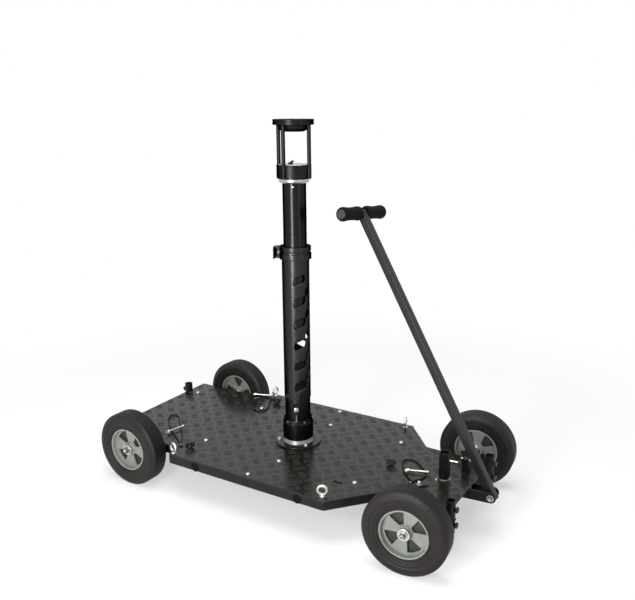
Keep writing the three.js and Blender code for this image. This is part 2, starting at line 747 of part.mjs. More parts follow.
// Tie rod: a flat bar with studs up into both arms and the drawbar's rear arm
{
  const turn = THREE.MathUtils.degToRad(steerRest)
  const shift = [-steerArm * Math.cos(turn), -steerArm * Math.sin(turn)]
  const top = armLow - gap
  const bar = box(postX - tieWide / 2 - gap, steerX + tieWide / 2, -kingY - studRadius * 2, kingY + studRadius * 2,
    top - tieThick, top)
  const parts = [bar]
  for (const [, side] of sides) {
    parts.push(rod(studRadius, top - gap, barrelBottom + 2 * gap + yokeThick, few).translate([steerX, side * kingY, 0]))
    parts.push(hexPrism(studRadius * 1.6, barrelBottom + gap, barrelBottom + gap + yokeThick * 0.8)
      .translate([steerX, side * kingY, 0]))
  }
  parts.push(rod(studRadius, top - gap, drawBottom + 2 * yokeThick, few).translate([postX, 0, 0]))
  parts.push(hexPrism(studRadius * 1.6, drawBottom + yokeThick + gap, drawBottom + 2 * yokeThick).translate([postX, 0, 0]))
  parts.push(rod(studRadius * 1.7, top - gap, drawBottom - gap, few).translate([postX, 0, 0]))
  add('tie_rod', unite(parts).translate([shift[0], shift[1], 0]), 'zinc')
}

// Drawbar: turns on the post's journal, fork for the handle, rear arm for the tie rod
{
  const cheeks = [-1, 1].map(side => {
    const bar = box(0, drawReach, cheekIn, cheekIn + cheekThick, drawBottom, drawTop)
    const end = rodY((drawTop - drawBottom) / 2, drawReach, (drawTop + drawBottom) / 2, cheekIn, cheekIn + cheekThick, mid)
    const cheek = unite([bar, end])
    return side > 0 ? cheek : mirrorY(cheek)
  })
  const web = box(0, webReach, -cheekIn - gap, cheekIn + gap, drawBottom, drawBottom + cheekThick)
  const hub = rod(hubDraw, drawBottom, drawTop, mid)
  const arm = box(-steerArm - 2.6 * studRadius, 0, -2.6 * studRadius, 2.6 * studRadius, drawBottom, drawBottom + yokeThick)
  const cutters = [
    rod(journalRadius + gap, drawBottom - gap, drawTop + gap, mid),
    rod(opened(studRadius, few), drawBottom - gap, drawTop, few).translate([-steerArm, 0, 0]),
    rodY(opened(pivotBolt, few), drawReach, pivotZ, -2 * cheekIn, 2 * cheekIn, few)
  ]
  const body = cut(unite([...cheeks, web, hub, arm]), cutters).translate([postX, 0, 0])
  add('drawbar', steered(body, postX, 0), 'powderBlack')
}

// Steering post: round journal below, open square socket above, with a cross pin
{
  const half = postSide / 2
  const hollow = half - postWall
  const square = cut(box(-half, half, -half, half, postFoot, postTop),
    [box(-hollow, hollow, -hollow, hollow, postFoot + 2 * postWall, postTop + gap)])
  const journal = rod(journalRadius, drawBottom + gap, postFoot + postWall / 2, mid)
  const washer = rod(washerWide, deckTop + gap, postFoot + gap, mid)
  const body = cut(unite([square, journal, washer]), [rodX(opened(postPinRadius, few), 0, postPinZ, -postSide, postSide, few)])
  add('steer_post', steered(body.translate([postX, 0, 0]), postX, 0), 'powderBlack')
  const pin = unite([
    rodX(postPinRadius, 0, postPinZ, -half - 2 * postWall, postPinOut - postPinRadius, few),
    rodX(postPinRadius * 1.5, 0, postPinZ, postPinOut - 2 * postPinRadius, postPinOut, few)
  ])
  add('post_pin', steered(pin.translate([postX, 0, 0]), postX, 0), 'zinc')
}

// Handle, its grips and the pivot bolt. Each pair is a share of a grip's length
// and a share of its radius.
const gripShares = [[0, 0.9], [0.12, 1], [0.3, 0.91], [0.7, 0.9], [0.88, 1], [1, 0.86]]
const hung = body => body.rotate([0, 0, -handleTwist]).rotate([-handleSway, 0, 0])
const leant = body => steered(body.rotate([0, -handleLean, 0]).translate([postX + drawReach, 0, pivotZ]), postX, 0)
{
  const half = handleSide / 2
  const hollow = half - handleWall
  const shaft = cut(box(-half, half, -half, half, -half * 1.19, handleLong),
    [box(-hollow, hollow, -hollow, hollow, -handleSide, handleLong - crossRadius + crossWall / 2)])
  const crossEnd = gripStart + gripLong - 2 * crossWall
  const crossOuter = rodY(crossRadius, 0, handleLong, -crossEnd, crossEnd, mid)
  const crossInner = rodY(crossRadius - crossWall, 0, handleLong, -crossEnd - gap, crossEnd + gap, mid)
  const crown = rodY(half, 0, handleLong, -half, half, mid)
  const body = cut(hung(cut(unite([shaft, crossOuter, crown]), [crossInner])),
    [rodY(opened(pivotBolt, few), 0, 0, -handleSide, handleSide, few)])
  add('handle', leant(body), 'handleGrey')

  for (const [side, sign] of sides) {
    const profile = gripShares.map(([along, bulge]) => [gripRadius * bulge, gripStart + gripLong * along])
    const grip = turned([[crossRadius + gap, gripStart], ...profile, [crossRadius * 0.7, gripStart + gripLong],
      [crossRadius * 0.7, gripStart + gripLong - crossWall + gap], [crossRadius + gap, gripStart + gripLong - crossWall + gap]],
    mid).rotate([-90, 0, 0]).translate([0, 0, handleLong])
    add(`grip_${side}`, leant(hung(sign > 0 ? grip : mirrorY(grip))), 'foam')
  }

  const out = cheekIn + cheekThick + gap
  const bolt = unite([
    rodY(pivotBolt, 0, 0, -out - washerThick - pivotBolt, out + washerThick + pivotBolt * 1.6, few),
    rodY(pivotBolt * 2.3, 0, 0, -out - washerThick, -out, few),
    hexPrism(pivotBolt * 1.75, out + washerThick, out + washerThick + pivotBolt * 1.4).rotate([90, 0, 0]),
    rodY(pivotBolt * 2.3, 0, 0, out, out + washerThick, few),
    hexPrism(pivotBolt * 1.75, out + washerThick, out + washerThick + pivotBolt * 1.4).rotate([-90, 0, 0])
  ])
  add('pivot_bolt', leant(bolt), 'zinc')
}

// Mast base: round flange, bright ring, collar and neck
{
  const disc = turned([[ringBore, deckTop + gap], [flangeRadius, deckTop + gap], [flangeRadius, flangeTop],
    [ringBore, flangeTop]], fine)
  const bolts = flangeBolts.map(([x, y]) => unite([
    hexPrism(boltHead * 0.8, flangeTop - gap, flangeTop + boltHeadTall),
    rod(boltShank, flangeTop, flangeTop + boltHeadTall * 1.6, hole)
  ]).translate([x, y, 0]))
  add('mast_flange', unite([disc, ...bolts]), 'anodised')
}
add('base_ring', turned([[ringBore, flangeTop + gap], [ringRadius, flangeTop + gap], [ringRadius, ringTop - bevel],
  [ringRadius - bevel, ringTop], [ringBore, ringTop]], fine), 'aluminium')
{
  const boss = rod(bossRadius, collarRadius * 0.88, collarRadius + bossRadius * 0.25, few)
    .rotate([0, 90, 0]).rotate([0, 0, pinAngle]).translate([0, 0, collarShoulder])
  const screws = collarScrewTurns.map(turn => rod(boltShank, neckRadius + play, collarRadius - gap, hole)
    .rotate([0, 90, 0]).rotate([0, 0, pinAngle + turn]).translate([0, 0, collarShoulder + boltShank * 1.4]))
  const body = turned([[neckRadius + gap, ringTop + gap], [collarRadius, ringTop + gap], [collarRadius, collarShoulder],
    [collarRadius * 0.93, collarTop], [neckRadius + gap, collarTop]], fine)
  // cone plunger standing on the boss, up the neck towards the pin
  const turn = THREE.MathUtils.degToRad(pinAngle)
  const out = neckRadius + pinRadius
  const cone = turned([[0, collarShoulder], [pinRadius, collarShoulder], [pinRadius, collarTop + gap],
    [pinRadius * 0.35, collarTop + 3.4 * pinRadius], [0, collarTop + 3.4 * pinRadius]], few)
    .translate([out * Math.cos(turn), out * Math.sin(turn), 0])
  const clear = rod(neckRadius + gap, ringTop - overrun, collarTop + 4 * pinRadius, fine)
  add('base_collar', cut(unite([body, boss, cone, ...screws]), [clear]), 'anodised')
}
{
  const neck = turned([[neckBore, ringTop + gap], [neckRadius, ringTop + gap], [neckRadius, neckTop - gap],
    [spigotRadius, neckTop - gap], [spigotRadius, spigotTop], [neckBore, spigotTop]], fine)
  const bore = rod(opened(pinRadius, few), 0, 2 * neckRadius, few).rotate([0, 90, 0]).rotate([0, 0, pinAngle]).translate([0, 0, pinZ])
  add('mast_neck', cut(neck, [bore]), 'anodised')
  const head = pinRadius * 1.35
  const pin = unite([
    rod(pinRadius, neckBore - play, neckRadius + pinRadius, few),
    slab([[-head, -head], [head, -head], [head, head], [-head, head]], neckRadius + gap, neckRadius + 2 * head)
  ]).rotate([0, 90, 0]).rotate([0, 0, pinAngle]).translate([0, 0, pinZ])
  add('mast_pin', pin, 'aluminium')
}

// Slotted mast tube. Each slot is a slanted stadium wrapped round the tube:
// a flat stadium prism is bent by placing its outline points at an angle and
// a height, so the slot keeps its shape on the curve.
function slotCutter(angle, height) {
  const [inner, outer] = [tubeBore - overrun, tubeRadius + overrun]
  const half = slotSpan / 2
  const endShare = 0.3
  const rim1 = []
  const steps = 2
  for (const end of [1, -1]) {
    for (let k = 0; k <= steps; k++) {
      const turn = (k / steps - 0.5) * Math.PI
      const along = end * (1 - endShare + endShare * Math.cos(turn))
      rim1.push([along * half, end * (slotHigh / 2) * Math.sin(turn) + (slotRise / 2) * along])
    }
  }
  const ringOf = radius => rim1.map(([a, h]) => {
    const turn = THREE.MathUtils.degToRad(angle + a)
    return new THREE.Vector3(radius * Math.cos(turn), radius * Math.sin(turn), height + h)
  })
  const [a, b] = [ringOf(inner), ringOf(outer)]
  const n = rim1.length
  const places = [...a, ...b].flatMap(v => [v.x, v.y, v.z])
  const index = []
  const strip = Array.from({ length: n / 2 - 1 }, (_, k) => [k, k + 1, n - 2 - k, n - 1 - k])
  for (const [p, q, r, s] of strip) {
    index.push(p, r, q, p, s, r, n + p, n + q, n + r, n + p, n + r, n + s)
  }
  for (let k = 0; k < n; k++) {
    const next = (k + 1) % n
    index.push(k, next, n + next, k, n + next, n + k)
  }
  const form = new THREE.BufferGeometry()
  form.setAttribute('position', new THREE.Float32BufferAttribute(places, 3))
  form.setIndex(index)
  return solid(form)
}
{
  const body = tube(tubeRadius, tubeBore, neckTop + gap, tubeTop, fine)
  const slots = []
  slotColumns.forEach((angle, column) => {
    const staggered = column % 2
    for (let k = 0; k < 6 - staggered; k++) {
      slots.push(slotCutter(angle, slotFirst + slotPitch * (k + 0.45 * staggered)))
    }
  })
  add('mast_tube', cut(body, slots), 'anodised')
}

// Clamp collar at the top of the mast tube, with a split lug and a lever
{
  const body = turned([
    [tubeRadius + gap, clampBottom], [clampRadius, clampBottom], [clampRadius, clampBottom + clampBand],
    [clampGroove, clampBottom + clampBand + gap], [clampGroove, clampTop - clampCap - gap],
    [clampRadius - bevel, clampTop - clampCap], [clampRadius - bevel, clampTop], [innerRadius + gap, clampTop],
    [innerRadius + gap, tubeTop + gap], [tubeRadius + gap, tubeTop + gap]
  ], fine)
  const lug = box(clampGroove * 0.95, lugOut - lugHalf, -lugHalf, lugHalf, clampBottom + bevel, clampTop - bevel)
  const slit = box(clampGroove * 0.9, lugOut, -clampSplit / 2, clampSplit / 2, clampBottom - overrun, clampTop + overrun)
  const bolt = rodY(boltShank, lugOut - 1.6 * lugHalf, (clampBottom + clampTop) / 2, lugHalf - gap, lugHalf + boltShank, few)
  const split = cut(unite([lug, bolt]), [slit]).rotate([0, 0, clampAngle])
  const notch = slit.rotate([0, 0, clampAngle])
  add('clamp_collar', cut(unite([body, split]), [notch]), 'anodised')

  const pivotX = lugOut - lugHalf + leverThick * 0.9 + gap
  const middle = (clampBottom + clampTop) / 2
  const cam = rod(leverThick * 0.9, middle - leverTall / 2, middle + leverTall / 2, few).translate([pivotX, 0, 0])
  const blade = box(pivotX - leverThick / 2, pivotX + leverThick / 2, -leverThick * 0.75, leverLong * 0.8,
    middle - leverTall / 2, middle + leverTall / 2)
  add('clamp_lever', unite([cam, blade]).rotate([0, 0, clampAngle]), 'anodised')
}

// Inner column and the head cage
{
  const top = innerTop
  add('inner_tube', turned([
    [innerBore, innerBottom], [bushRadius, innerBottom], [bushRadius, innerBottom + bushTall],
    [innerRadius, innerBottom + bushTall], [innerRadius, top], [innerBore, top]
  ], fine), 'anodised')
  const ring = turned([[innerBore, top + gap], [headRingRadius - bevel, top + gap], [headRingRadius, top + bevel],
    [headRingRadius, headRingTop - bevel], [headRingRadius - bevel, headRingTop], [innerBore, headRingTop]], fine)
  const floor = drumTop - discSunk
  const disc = turned([[0, floor + gap], [discRadius, floor + gap], [discRadius, drumTop], [discRadius - bevel, drumTop + bevel],
    [0, drumTop + bevel]], fine)
  add('head_ring', ring, 'aluminium')
  add('head_disc', disc, 'aluminium')

  const drum = turned([[innerBore, headRingTop + gap], [drumRadius, headRingTop + gap], [drumRadius, drumTop],
    [discRadius + gap, drumTop], [discRadius + gap, floor], [innerBore, floor]], fine)
  const posts = [-90, 0, 180].map(angle => rod(headPostSize, headRingTop + gap, plateBottom - gap, few)
    .translate([headPostRadius, 0, 0]).rotate([0, 0, angle]))
  const clear = rod(discRadius + gap, floor, drumTop + bevel + gap, fine)
  add('head_cage', cut(unite([drum, ...posts]), [clear]), 'anodised')

  // Heights down the bowl, as shares of its depth
  const bowlShares = [0.25, 0.5, 0.75, 1]
  const bowlRadius = z => {
    const share = (plateTop - z) / (plateTop - bowlFloor)
    return bowlNeck + (bowlMouth - bowlNeck) * Math.sqrt(Math.max(0, 1 - share * share))
  }
  const heights = bowlShares.map(share => plateTop - share * (plateTop - bowlFloor))
  const outerBowl = [plateBottom, ...heights.filter(z => z < plateBottom - gap)].map(z => [bowlRadius(z) + bowlWall, z])
  const innerBowl = heights.map(z => [bowlRadius(z), z]).reverse()
  const profile = [[bowlMouth, plateTop], [plateRadius, plateTop], [plateRadius, plateBottom], ...outerBowl, ...innerBowl]
  add('bowl_plate', turned(profile, fine), 'anodised')

  const low = drumTop + bevel + gap
  const lever = unite([
    rod(leverBase, low, low + leverBase * 0.7, few).translate([-leverBase, -leverBase, 0]),
    slab([[0, 0], [2.6 * leverBase, 1.5 * leverBase], [2.2 * leverBase, 2.2 * leverBase], [-0.5 * leverBase, 0.8 * leverBase]],
      -leverBase * 0.45, leverBase * 0.45).rotate([90, 0, 0]).translate([-1.4 * leverBase, -leverBase, low])
  ])
  add('head_lever', lever, 'knobPlastic')
}

// Wing knobs that screw down through the deck
function wingKnob() {
  const low = deckTop + gap
  const wing = 2.1 * boltHead
  const parts = [
    turned([[0, low], [boltHead, low], [boltHead * 0.9, low + boltHead], [0, low + boltHead]], few),
    box(-wing, wing, -boltHead * 0.45, boltHead * 0.45, low + boltHead * 0.7, low + boltHead * 2.2),
    rod(boltHead * 0.75, low + boltHead * 0.5, low + boltHead * 2.8, few),
    rod(boltShank, railBottom + gap, low + boltHead, hole)
  ]
  return unite(parts)
}
for (const [name, [x, y]] of Object.entries(knobPlaces)) {
  const turn = name.endsWith('near') ? 62 : 10
  add(name, wingKnob().rotate([0, 0, turn]).translate([x, y, 0]), 'knobPlastic')
}

// Bar handled clamp screw beside the post, and the latch block on the far side
{
  const low = deckTop + gap
  const half = 3.5 * boltHead
  const parts = [
    rod(boltHead * 1.1, low, low + boltHead * 0.8, few),
    box(-half, half, -boltHead * 0.6, boltHead * 0.6, low + boltHead * 0.6, low + boltHead * 1.5),
    rod(boltShank, railBottom, low + boltHead, hole),
    solid(new THREE.SphereGeometry(boltHead, few, 5)).translate([0, 0, low + boltHead * 2])
  ]
  add('steer_clamp', unite(parts).rotate([0, 0, eyeTurn]).translate([...clampPlace, 0]), 'powderBlack')
  const block = box(-latchHalf, latchHalf, -latchHalf, latchHalf, low, low + latchTall)
  const pin = rodX(boltShank, 0, low + latchTall - 1.6 * boltShank, -latchPinHalf, latchPinHalf, hole)
  add('latch_block', unite([block, pin]).translate([latchX, latchY, 0]), 'powderBlack')
}

// Loose lock pins lying on the deck, each with a ring at one end for its cord:
// shares of the deck's length and width from the mast, and the turn in degrees
const lockPinShares = {
  pin_tail_near: [-0.6598, -0.7238, 79.4],
  pin_tail_far: [-0.5765, 0.9817, 19],
  pin_nose: [0.6839, -0.1209, 19.2]
}
for (const [name, [along, across, turn]] of Object.entries(lockPinShares)) {
  // two of them rest on their own loops, the far one on the plate
  const lie = deckTop + gap + (name === 'pin_tail_far' ? lockPinRadius * 1.7 : 2 * cordRadius + gap + lockPinRadius)
  const body = unite([
    rodX(lockPinRadius, 0, 0, 0, lockPinLong, few),
    rodX(lockPinRadius * 1.7, 0, 0, -lockPinRadius * 2.4, lockPinRadius * 1.2, few),
    turned([[0, -lockPinRadius], [lockPinRadius * 1.3, -lockPinRadius * 0.6], [lockPinRadius * 1.3, lockPinRadius * 0.6],
      [0, lockPinRadius]], few).rotate([0, 90, 0]).translate([lockPinLong, 0, 0])
  ])
  const [long, wide] = along < 0 ? [deckTail, tailHalf] : [deckNose, noseHalf]
  add(name, body.rotate([0, 0, turn]).translate([along * long, across * wide, lie]), 'zinc')
}

// The loops themselves
for (const [name, points] of Object.entries(cordRoutes)) {
  const lie = deckTop + gap + cordRadius
  const path = new THREE.CatmullRomCurve3(points.map(([x, y]) => new THREE.Vector3(x, y, lie)), false, 'centripetal')
  const section = new THREE.Shape(circle(cordRadius, 8).map(([x, y]) => new THREE.Vector2(x, y)))
  const steps = Math.round(path.getLength() / (6 * cordRadius))
  add(name, new THREE.ExtrudeGeometry(section, { steps, bevelEnabled: false, extrudePath: path }), 'cordCover')
}

// The origin is under the middle of the solids' box, on the ground
const box3 = new THREE.Box3().setFromObject(dolly)
dolly.position.x = -(box3.min.x + box3.max.x) / 2

export default dolly
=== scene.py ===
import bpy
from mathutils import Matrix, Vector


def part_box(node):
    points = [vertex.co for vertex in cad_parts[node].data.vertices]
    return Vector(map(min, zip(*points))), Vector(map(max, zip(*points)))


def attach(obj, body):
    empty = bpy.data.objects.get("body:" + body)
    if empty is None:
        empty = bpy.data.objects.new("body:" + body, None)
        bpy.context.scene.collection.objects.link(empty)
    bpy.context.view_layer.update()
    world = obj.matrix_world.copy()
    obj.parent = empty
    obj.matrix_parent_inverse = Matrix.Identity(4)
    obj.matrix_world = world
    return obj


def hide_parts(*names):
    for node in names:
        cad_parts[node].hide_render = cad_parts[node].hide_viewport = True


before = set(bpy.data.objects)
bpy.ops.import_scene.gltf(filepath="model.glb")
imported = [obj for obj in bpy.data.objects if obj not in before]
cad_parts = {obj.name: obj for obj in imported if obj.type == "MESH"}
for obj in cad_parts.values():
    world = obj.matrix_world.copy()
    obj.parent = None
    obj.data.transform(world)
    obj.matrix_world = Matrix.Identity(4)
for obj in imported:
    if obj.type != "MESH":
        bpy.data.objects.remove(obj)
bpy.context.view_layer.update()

# Camera dolly: a tread plate deck on four solid tyres, with a steering pull
# handle and a telescoping camera mast. Sizes are millimetres from the mast's
# axis, x to the nose, y to the far side, z up from the ground.
from itertools import product
from math import atan2, cos, hypot, pi, radians, sin, sqrt
import bmesh
import bpy
from mathutils import Matrix, Vector
from mathutils.geometry import delaunay_2d_cdt, tessellate_polygon

mastX = sum(corner.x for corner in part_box("mast_tube")) / 2
toFrame = Matrix.Translation((mastX, 0, 0)) @ Matrix.Scale(0.001, 4)
sides = (("near", -1), ("far", 1))
gap = 0.3  # clearance that keeps neighbours apart


def linked(name, data):
    made = bpy.data.objects.new(name, data)
    bpy.context.scene.collection.objects.link(made)
    return made


# ---- camera, floor and light
camera = dict(position=(1.32521, -2.0134, 1.2933), azimuth=31.12, elevation=15.25, roll=-0.26, lens=42.48,
              shift=(-0.01997, 0.01072), film=36, reach=60)


def makeCamera():
    turn, lift, roll = (radians(camera[key]) for key in ("azimuth", "elevation", "roll"))
    back = Vector((sin(turn) * cos(lift), -cos(turn) * cos(lift), sin(lift)))
    right = (-back).cross(Vector((0, 0, 1))).normalized()
    up = right.cross(-back)
    data = bpy.data.cameras.new("photographCamera")
    data.lens, data.sensor_width, data.sensor_fit = camera["lens"], camera["film"], "HORIZONTAL"
    data.shift_x, data.shift_y = camera["shift"]
    data.clip_end = camera["reach"]
    sideways, upward = right * cos(roll) + up * sin(roll), -right * sin(roll) + up * cos(roll)
    place = Matrix((sideways, upward, back)).transposed().to_4x4()
    place.translation = Vector(camera["position"])
    viewer = linked("photographCamera", data)
    viewer.matrix_world = place
    bpy.context.scene.camera = viewer


def addNode(tree, kind, values=None, links=None, **settings):
    made = tree.nodes.new(kind)
    for key, value in settings.items():
        setattr(made, key, value)
    for key, value in (values or {}).items():
        made.inputs[key].default_value = value
    for key, source in (links or {}).items():
        # a node stands for its first output
        tree.links.new(source.outputs[0] if hasattr(source, "outputs") else source, made.inputs[key])
    return made


def maths(tree, operation, *given):
    # a math node over sockets and plain numbers
    numbers = {i: value for i, value in enumerate(given) if isinstance(value, float)}
    sockets = {i: value for i, value in enumerate(given) if not isinstance(value, float)}
    return addNode(tree, "ShaderNodeMath", numbers, sockets, operation=operation)


def linear(text):
    shares = [int(text[i:i + 2], 16) / 255 for i in (1, 3, 5)]
    return (*(share / 12.92 if share <= 0.04045 else ((share + 0.055) / 1.055) ** 2.4 for share in shares), 1)


stage = dict(size=60, floor="#fefefd", ownWhite=0.5, nearRadius=0.9, farRadius=2.2, ambient=0.34)


def emptyTree(owner):
    owner.use_nodes = True
    owner.node_tree.nodes.clear()
    return owner.node_tree


def whiteRays(tree):
    # 1 for the rays that see the studio as plain white
    rays = addNode(tree, "ShaderNodeLightPath").outputs
    seen = maths(tree, "MAXIMUM", rays["Is Camera Ray"], rays["Is Glossy Ray"])
    return maths(tree, "MAXIMUM", seen, rays["Is Transmission Ray"])


def makeStage():
    grid = bmesh.new()
    bmesh.ops.create_grid(grid, x_segments=2, y_segments=2, size=stage["size"] / 2)
    mesh = bpy.data.meshes.new("studioFloor")
    grid.to_mesh(mesh)
    grid.free()
    floor = linked("studioFloor", mesh)
    paper = bpy.data.materials.new("whitePaperFloor")
    tree = emptyTree(paper)
    # the camera sees the floor partly as its own white, so shadows stay pale,
    # and wholly so further off, where no shadow falls
    place = addNode(tree, "ShaderNodeTexCoord").outputs["Object"]
    away = addNode(tree, "ShaderNodeVectorMath", links={0: place}, operation="LENGTH").outputs["Value"]
    white = addNode(tree, "ShaderNodeMapRange", {"From Min": stage["nearRadius"], "From Max": stage["farRadius"],
                    "To Min": stage["ownWhite"], "To Max": 1.0}, {"Value": away}, interpolation_type="SMOOTHSTEP")
    share = maths(tree, "MULTIPLY", whiteRays(tree), white)
    lit = addNode(tree, "ShaderNodeBsdfDiffuse", {"Color": linear(stage["floor"])})
    own = addNode(tree, "ShaderNodeEmission", {"Color": (1, 1, 1, 1), "Strength": 1})
    mix = addNode(tree, "ShaderNodeMixShader", links={0: share, 1: lit, 2: own})
    addNode(tree, "ShaderNodeOutputMaterial", links={"Surface": mix})
    mesh.materials.append(paper)

    world = bpy.data.worlds.new("studioRoom")
    tree = emptyTree(world)
    room, plain = (addNode(tree, "ShaderNodeBackground", {"Color": (1, 1, 1, 1), "Strength": power})
                   for power in (stage["ambient"], 1))
    mix = addNode(tree, "ShaderNodeMixShader", links={0: whiteRays(tree), 1: room, 2: plain})
    addNode(tree, "ShaderNodeOutputWorld", links={"Surface": mix})
    bpy.context.scene.world = world


# Soft boxes: name, place in metres, where it points, size and watts
lamps = [
    ("overheadBox", (0.1, -0.2, 3.2), (0.1, 0, 0), (2.6, 2.6), 74),
    ("frontStrip", (0.26, -2.2, 0.84), (0, 0, 0.6), (0.42, 1.62), 50),
    ("rightBox", (3.2, -0.6, 1.8), (0.2, 0, 0.5), (0.6, 2.2), 7),
    ("leftBox", (-3.0, -1.2, 2.0), (0, 0, 0.5), (0.6, 2.0), 8),
]


def makeLamps():
    for name, place, aim, size, power in lamps:
        data = bpy.data.lights.new(name, "AREA")
        data.shape, data.size, data.size_y, data.energy = "RECTANGLE", size[0], size[1], power
        lamp = linked(name, data)
        lamp.location = place
        lamp.rotation_euler = (Vector(aim) - Vector(place)).to_track_quat("-Z", "Y").to_euler()


bpy.context.scene.view_settings.view_transform = "Standard"
makeCamera()
makeStage()
makeLamps()
print("camera, floor and lamps")

# ---- finishes
patches = dict(detail=4, roughness=0.6, dark=0.36, light=0.68, dull=0.3, shiny=0.7, fineDetail=3, bump=0.6)


def makeFinish(name, colour, patch, patchSize, roughness, spread, grain, depth, metallic=0.0, ior=1.5,
               stretch=(1, 1, 1), cells=False, specular=0.5, edge=None):
    # Two close colours in patches, roughness that wanders with them, and a
    # fine grain. patchSize, grain and depth are millimetres.
    made = bpy.data.materials.new(name)
    made.use_nodes = True
    tree = made.node_tree
    shader = tree.nodes["Principled BSDF"].inputs
    shader["Metallic"].default_value = metallic
    shader["Specular IOR Level"].default_value = specular
    if edge:
        shader["Specular Tint"].default_value = linear(edge)
    if metallic < 1:
        shader["IOR"].default_value = ior
    place = addNode(tree, "ShaderNodeTexCoord").outputs["Object"]
    along = addNode(tree, "ShaderNodeMapping", {"Location": (-mastX, 0, 0), "Scale": stretch}, {"Vector": place})
    cloud = addNode(tree, "ShaderNodeTexNoise", {"Scale": 1000 / patchSize, "Detail": patches["detail"],
                    "Roughness": patches["roughness"]}, {"Vector": along}).outputs["Fac"]
    shades = addNode(tree, "ShaderNodeValToRGB", links={"Fac": cloud})
    for stop, position, tone in zip(shades.color_ramp.elements, (patches["dark"], patches["light"]), (colour, patch)):
        stop.position, stop.color = position, linear(tone)
    sheen = addNode(tree, "ShaderNodeMapRange", {"From Min": patches["dull"], "From Max": patches["shiny"],
                    "To Min": roughness - spread, "To Max": roughness + spread}, {"Value": cloud})
    if cells:
        fine = addNode(tree, "ShaderNodeTexVoronoi", {"Scale": 1000 / grain}, {"Vector": place}).outputs["Distance"]
    else:
        fine = addNode(tree, "ShaderNodeTexNoise", {"Scale": 1000 / grain, "Detail": patches["fineDetail"]},
                       {"Vector": along}).outputs["Fac"]
    bump = addNode(tree, "ShaderNodeBump", {"Strength": patches["bump"], "Distance": depth / 1000}, {"Height": fine})
    for label, source in (("Base Color", shades), ("Roughness", sheen), ("Normal", bump)):
        tree.links.new(source.outputs[0], shader[label])
    return made


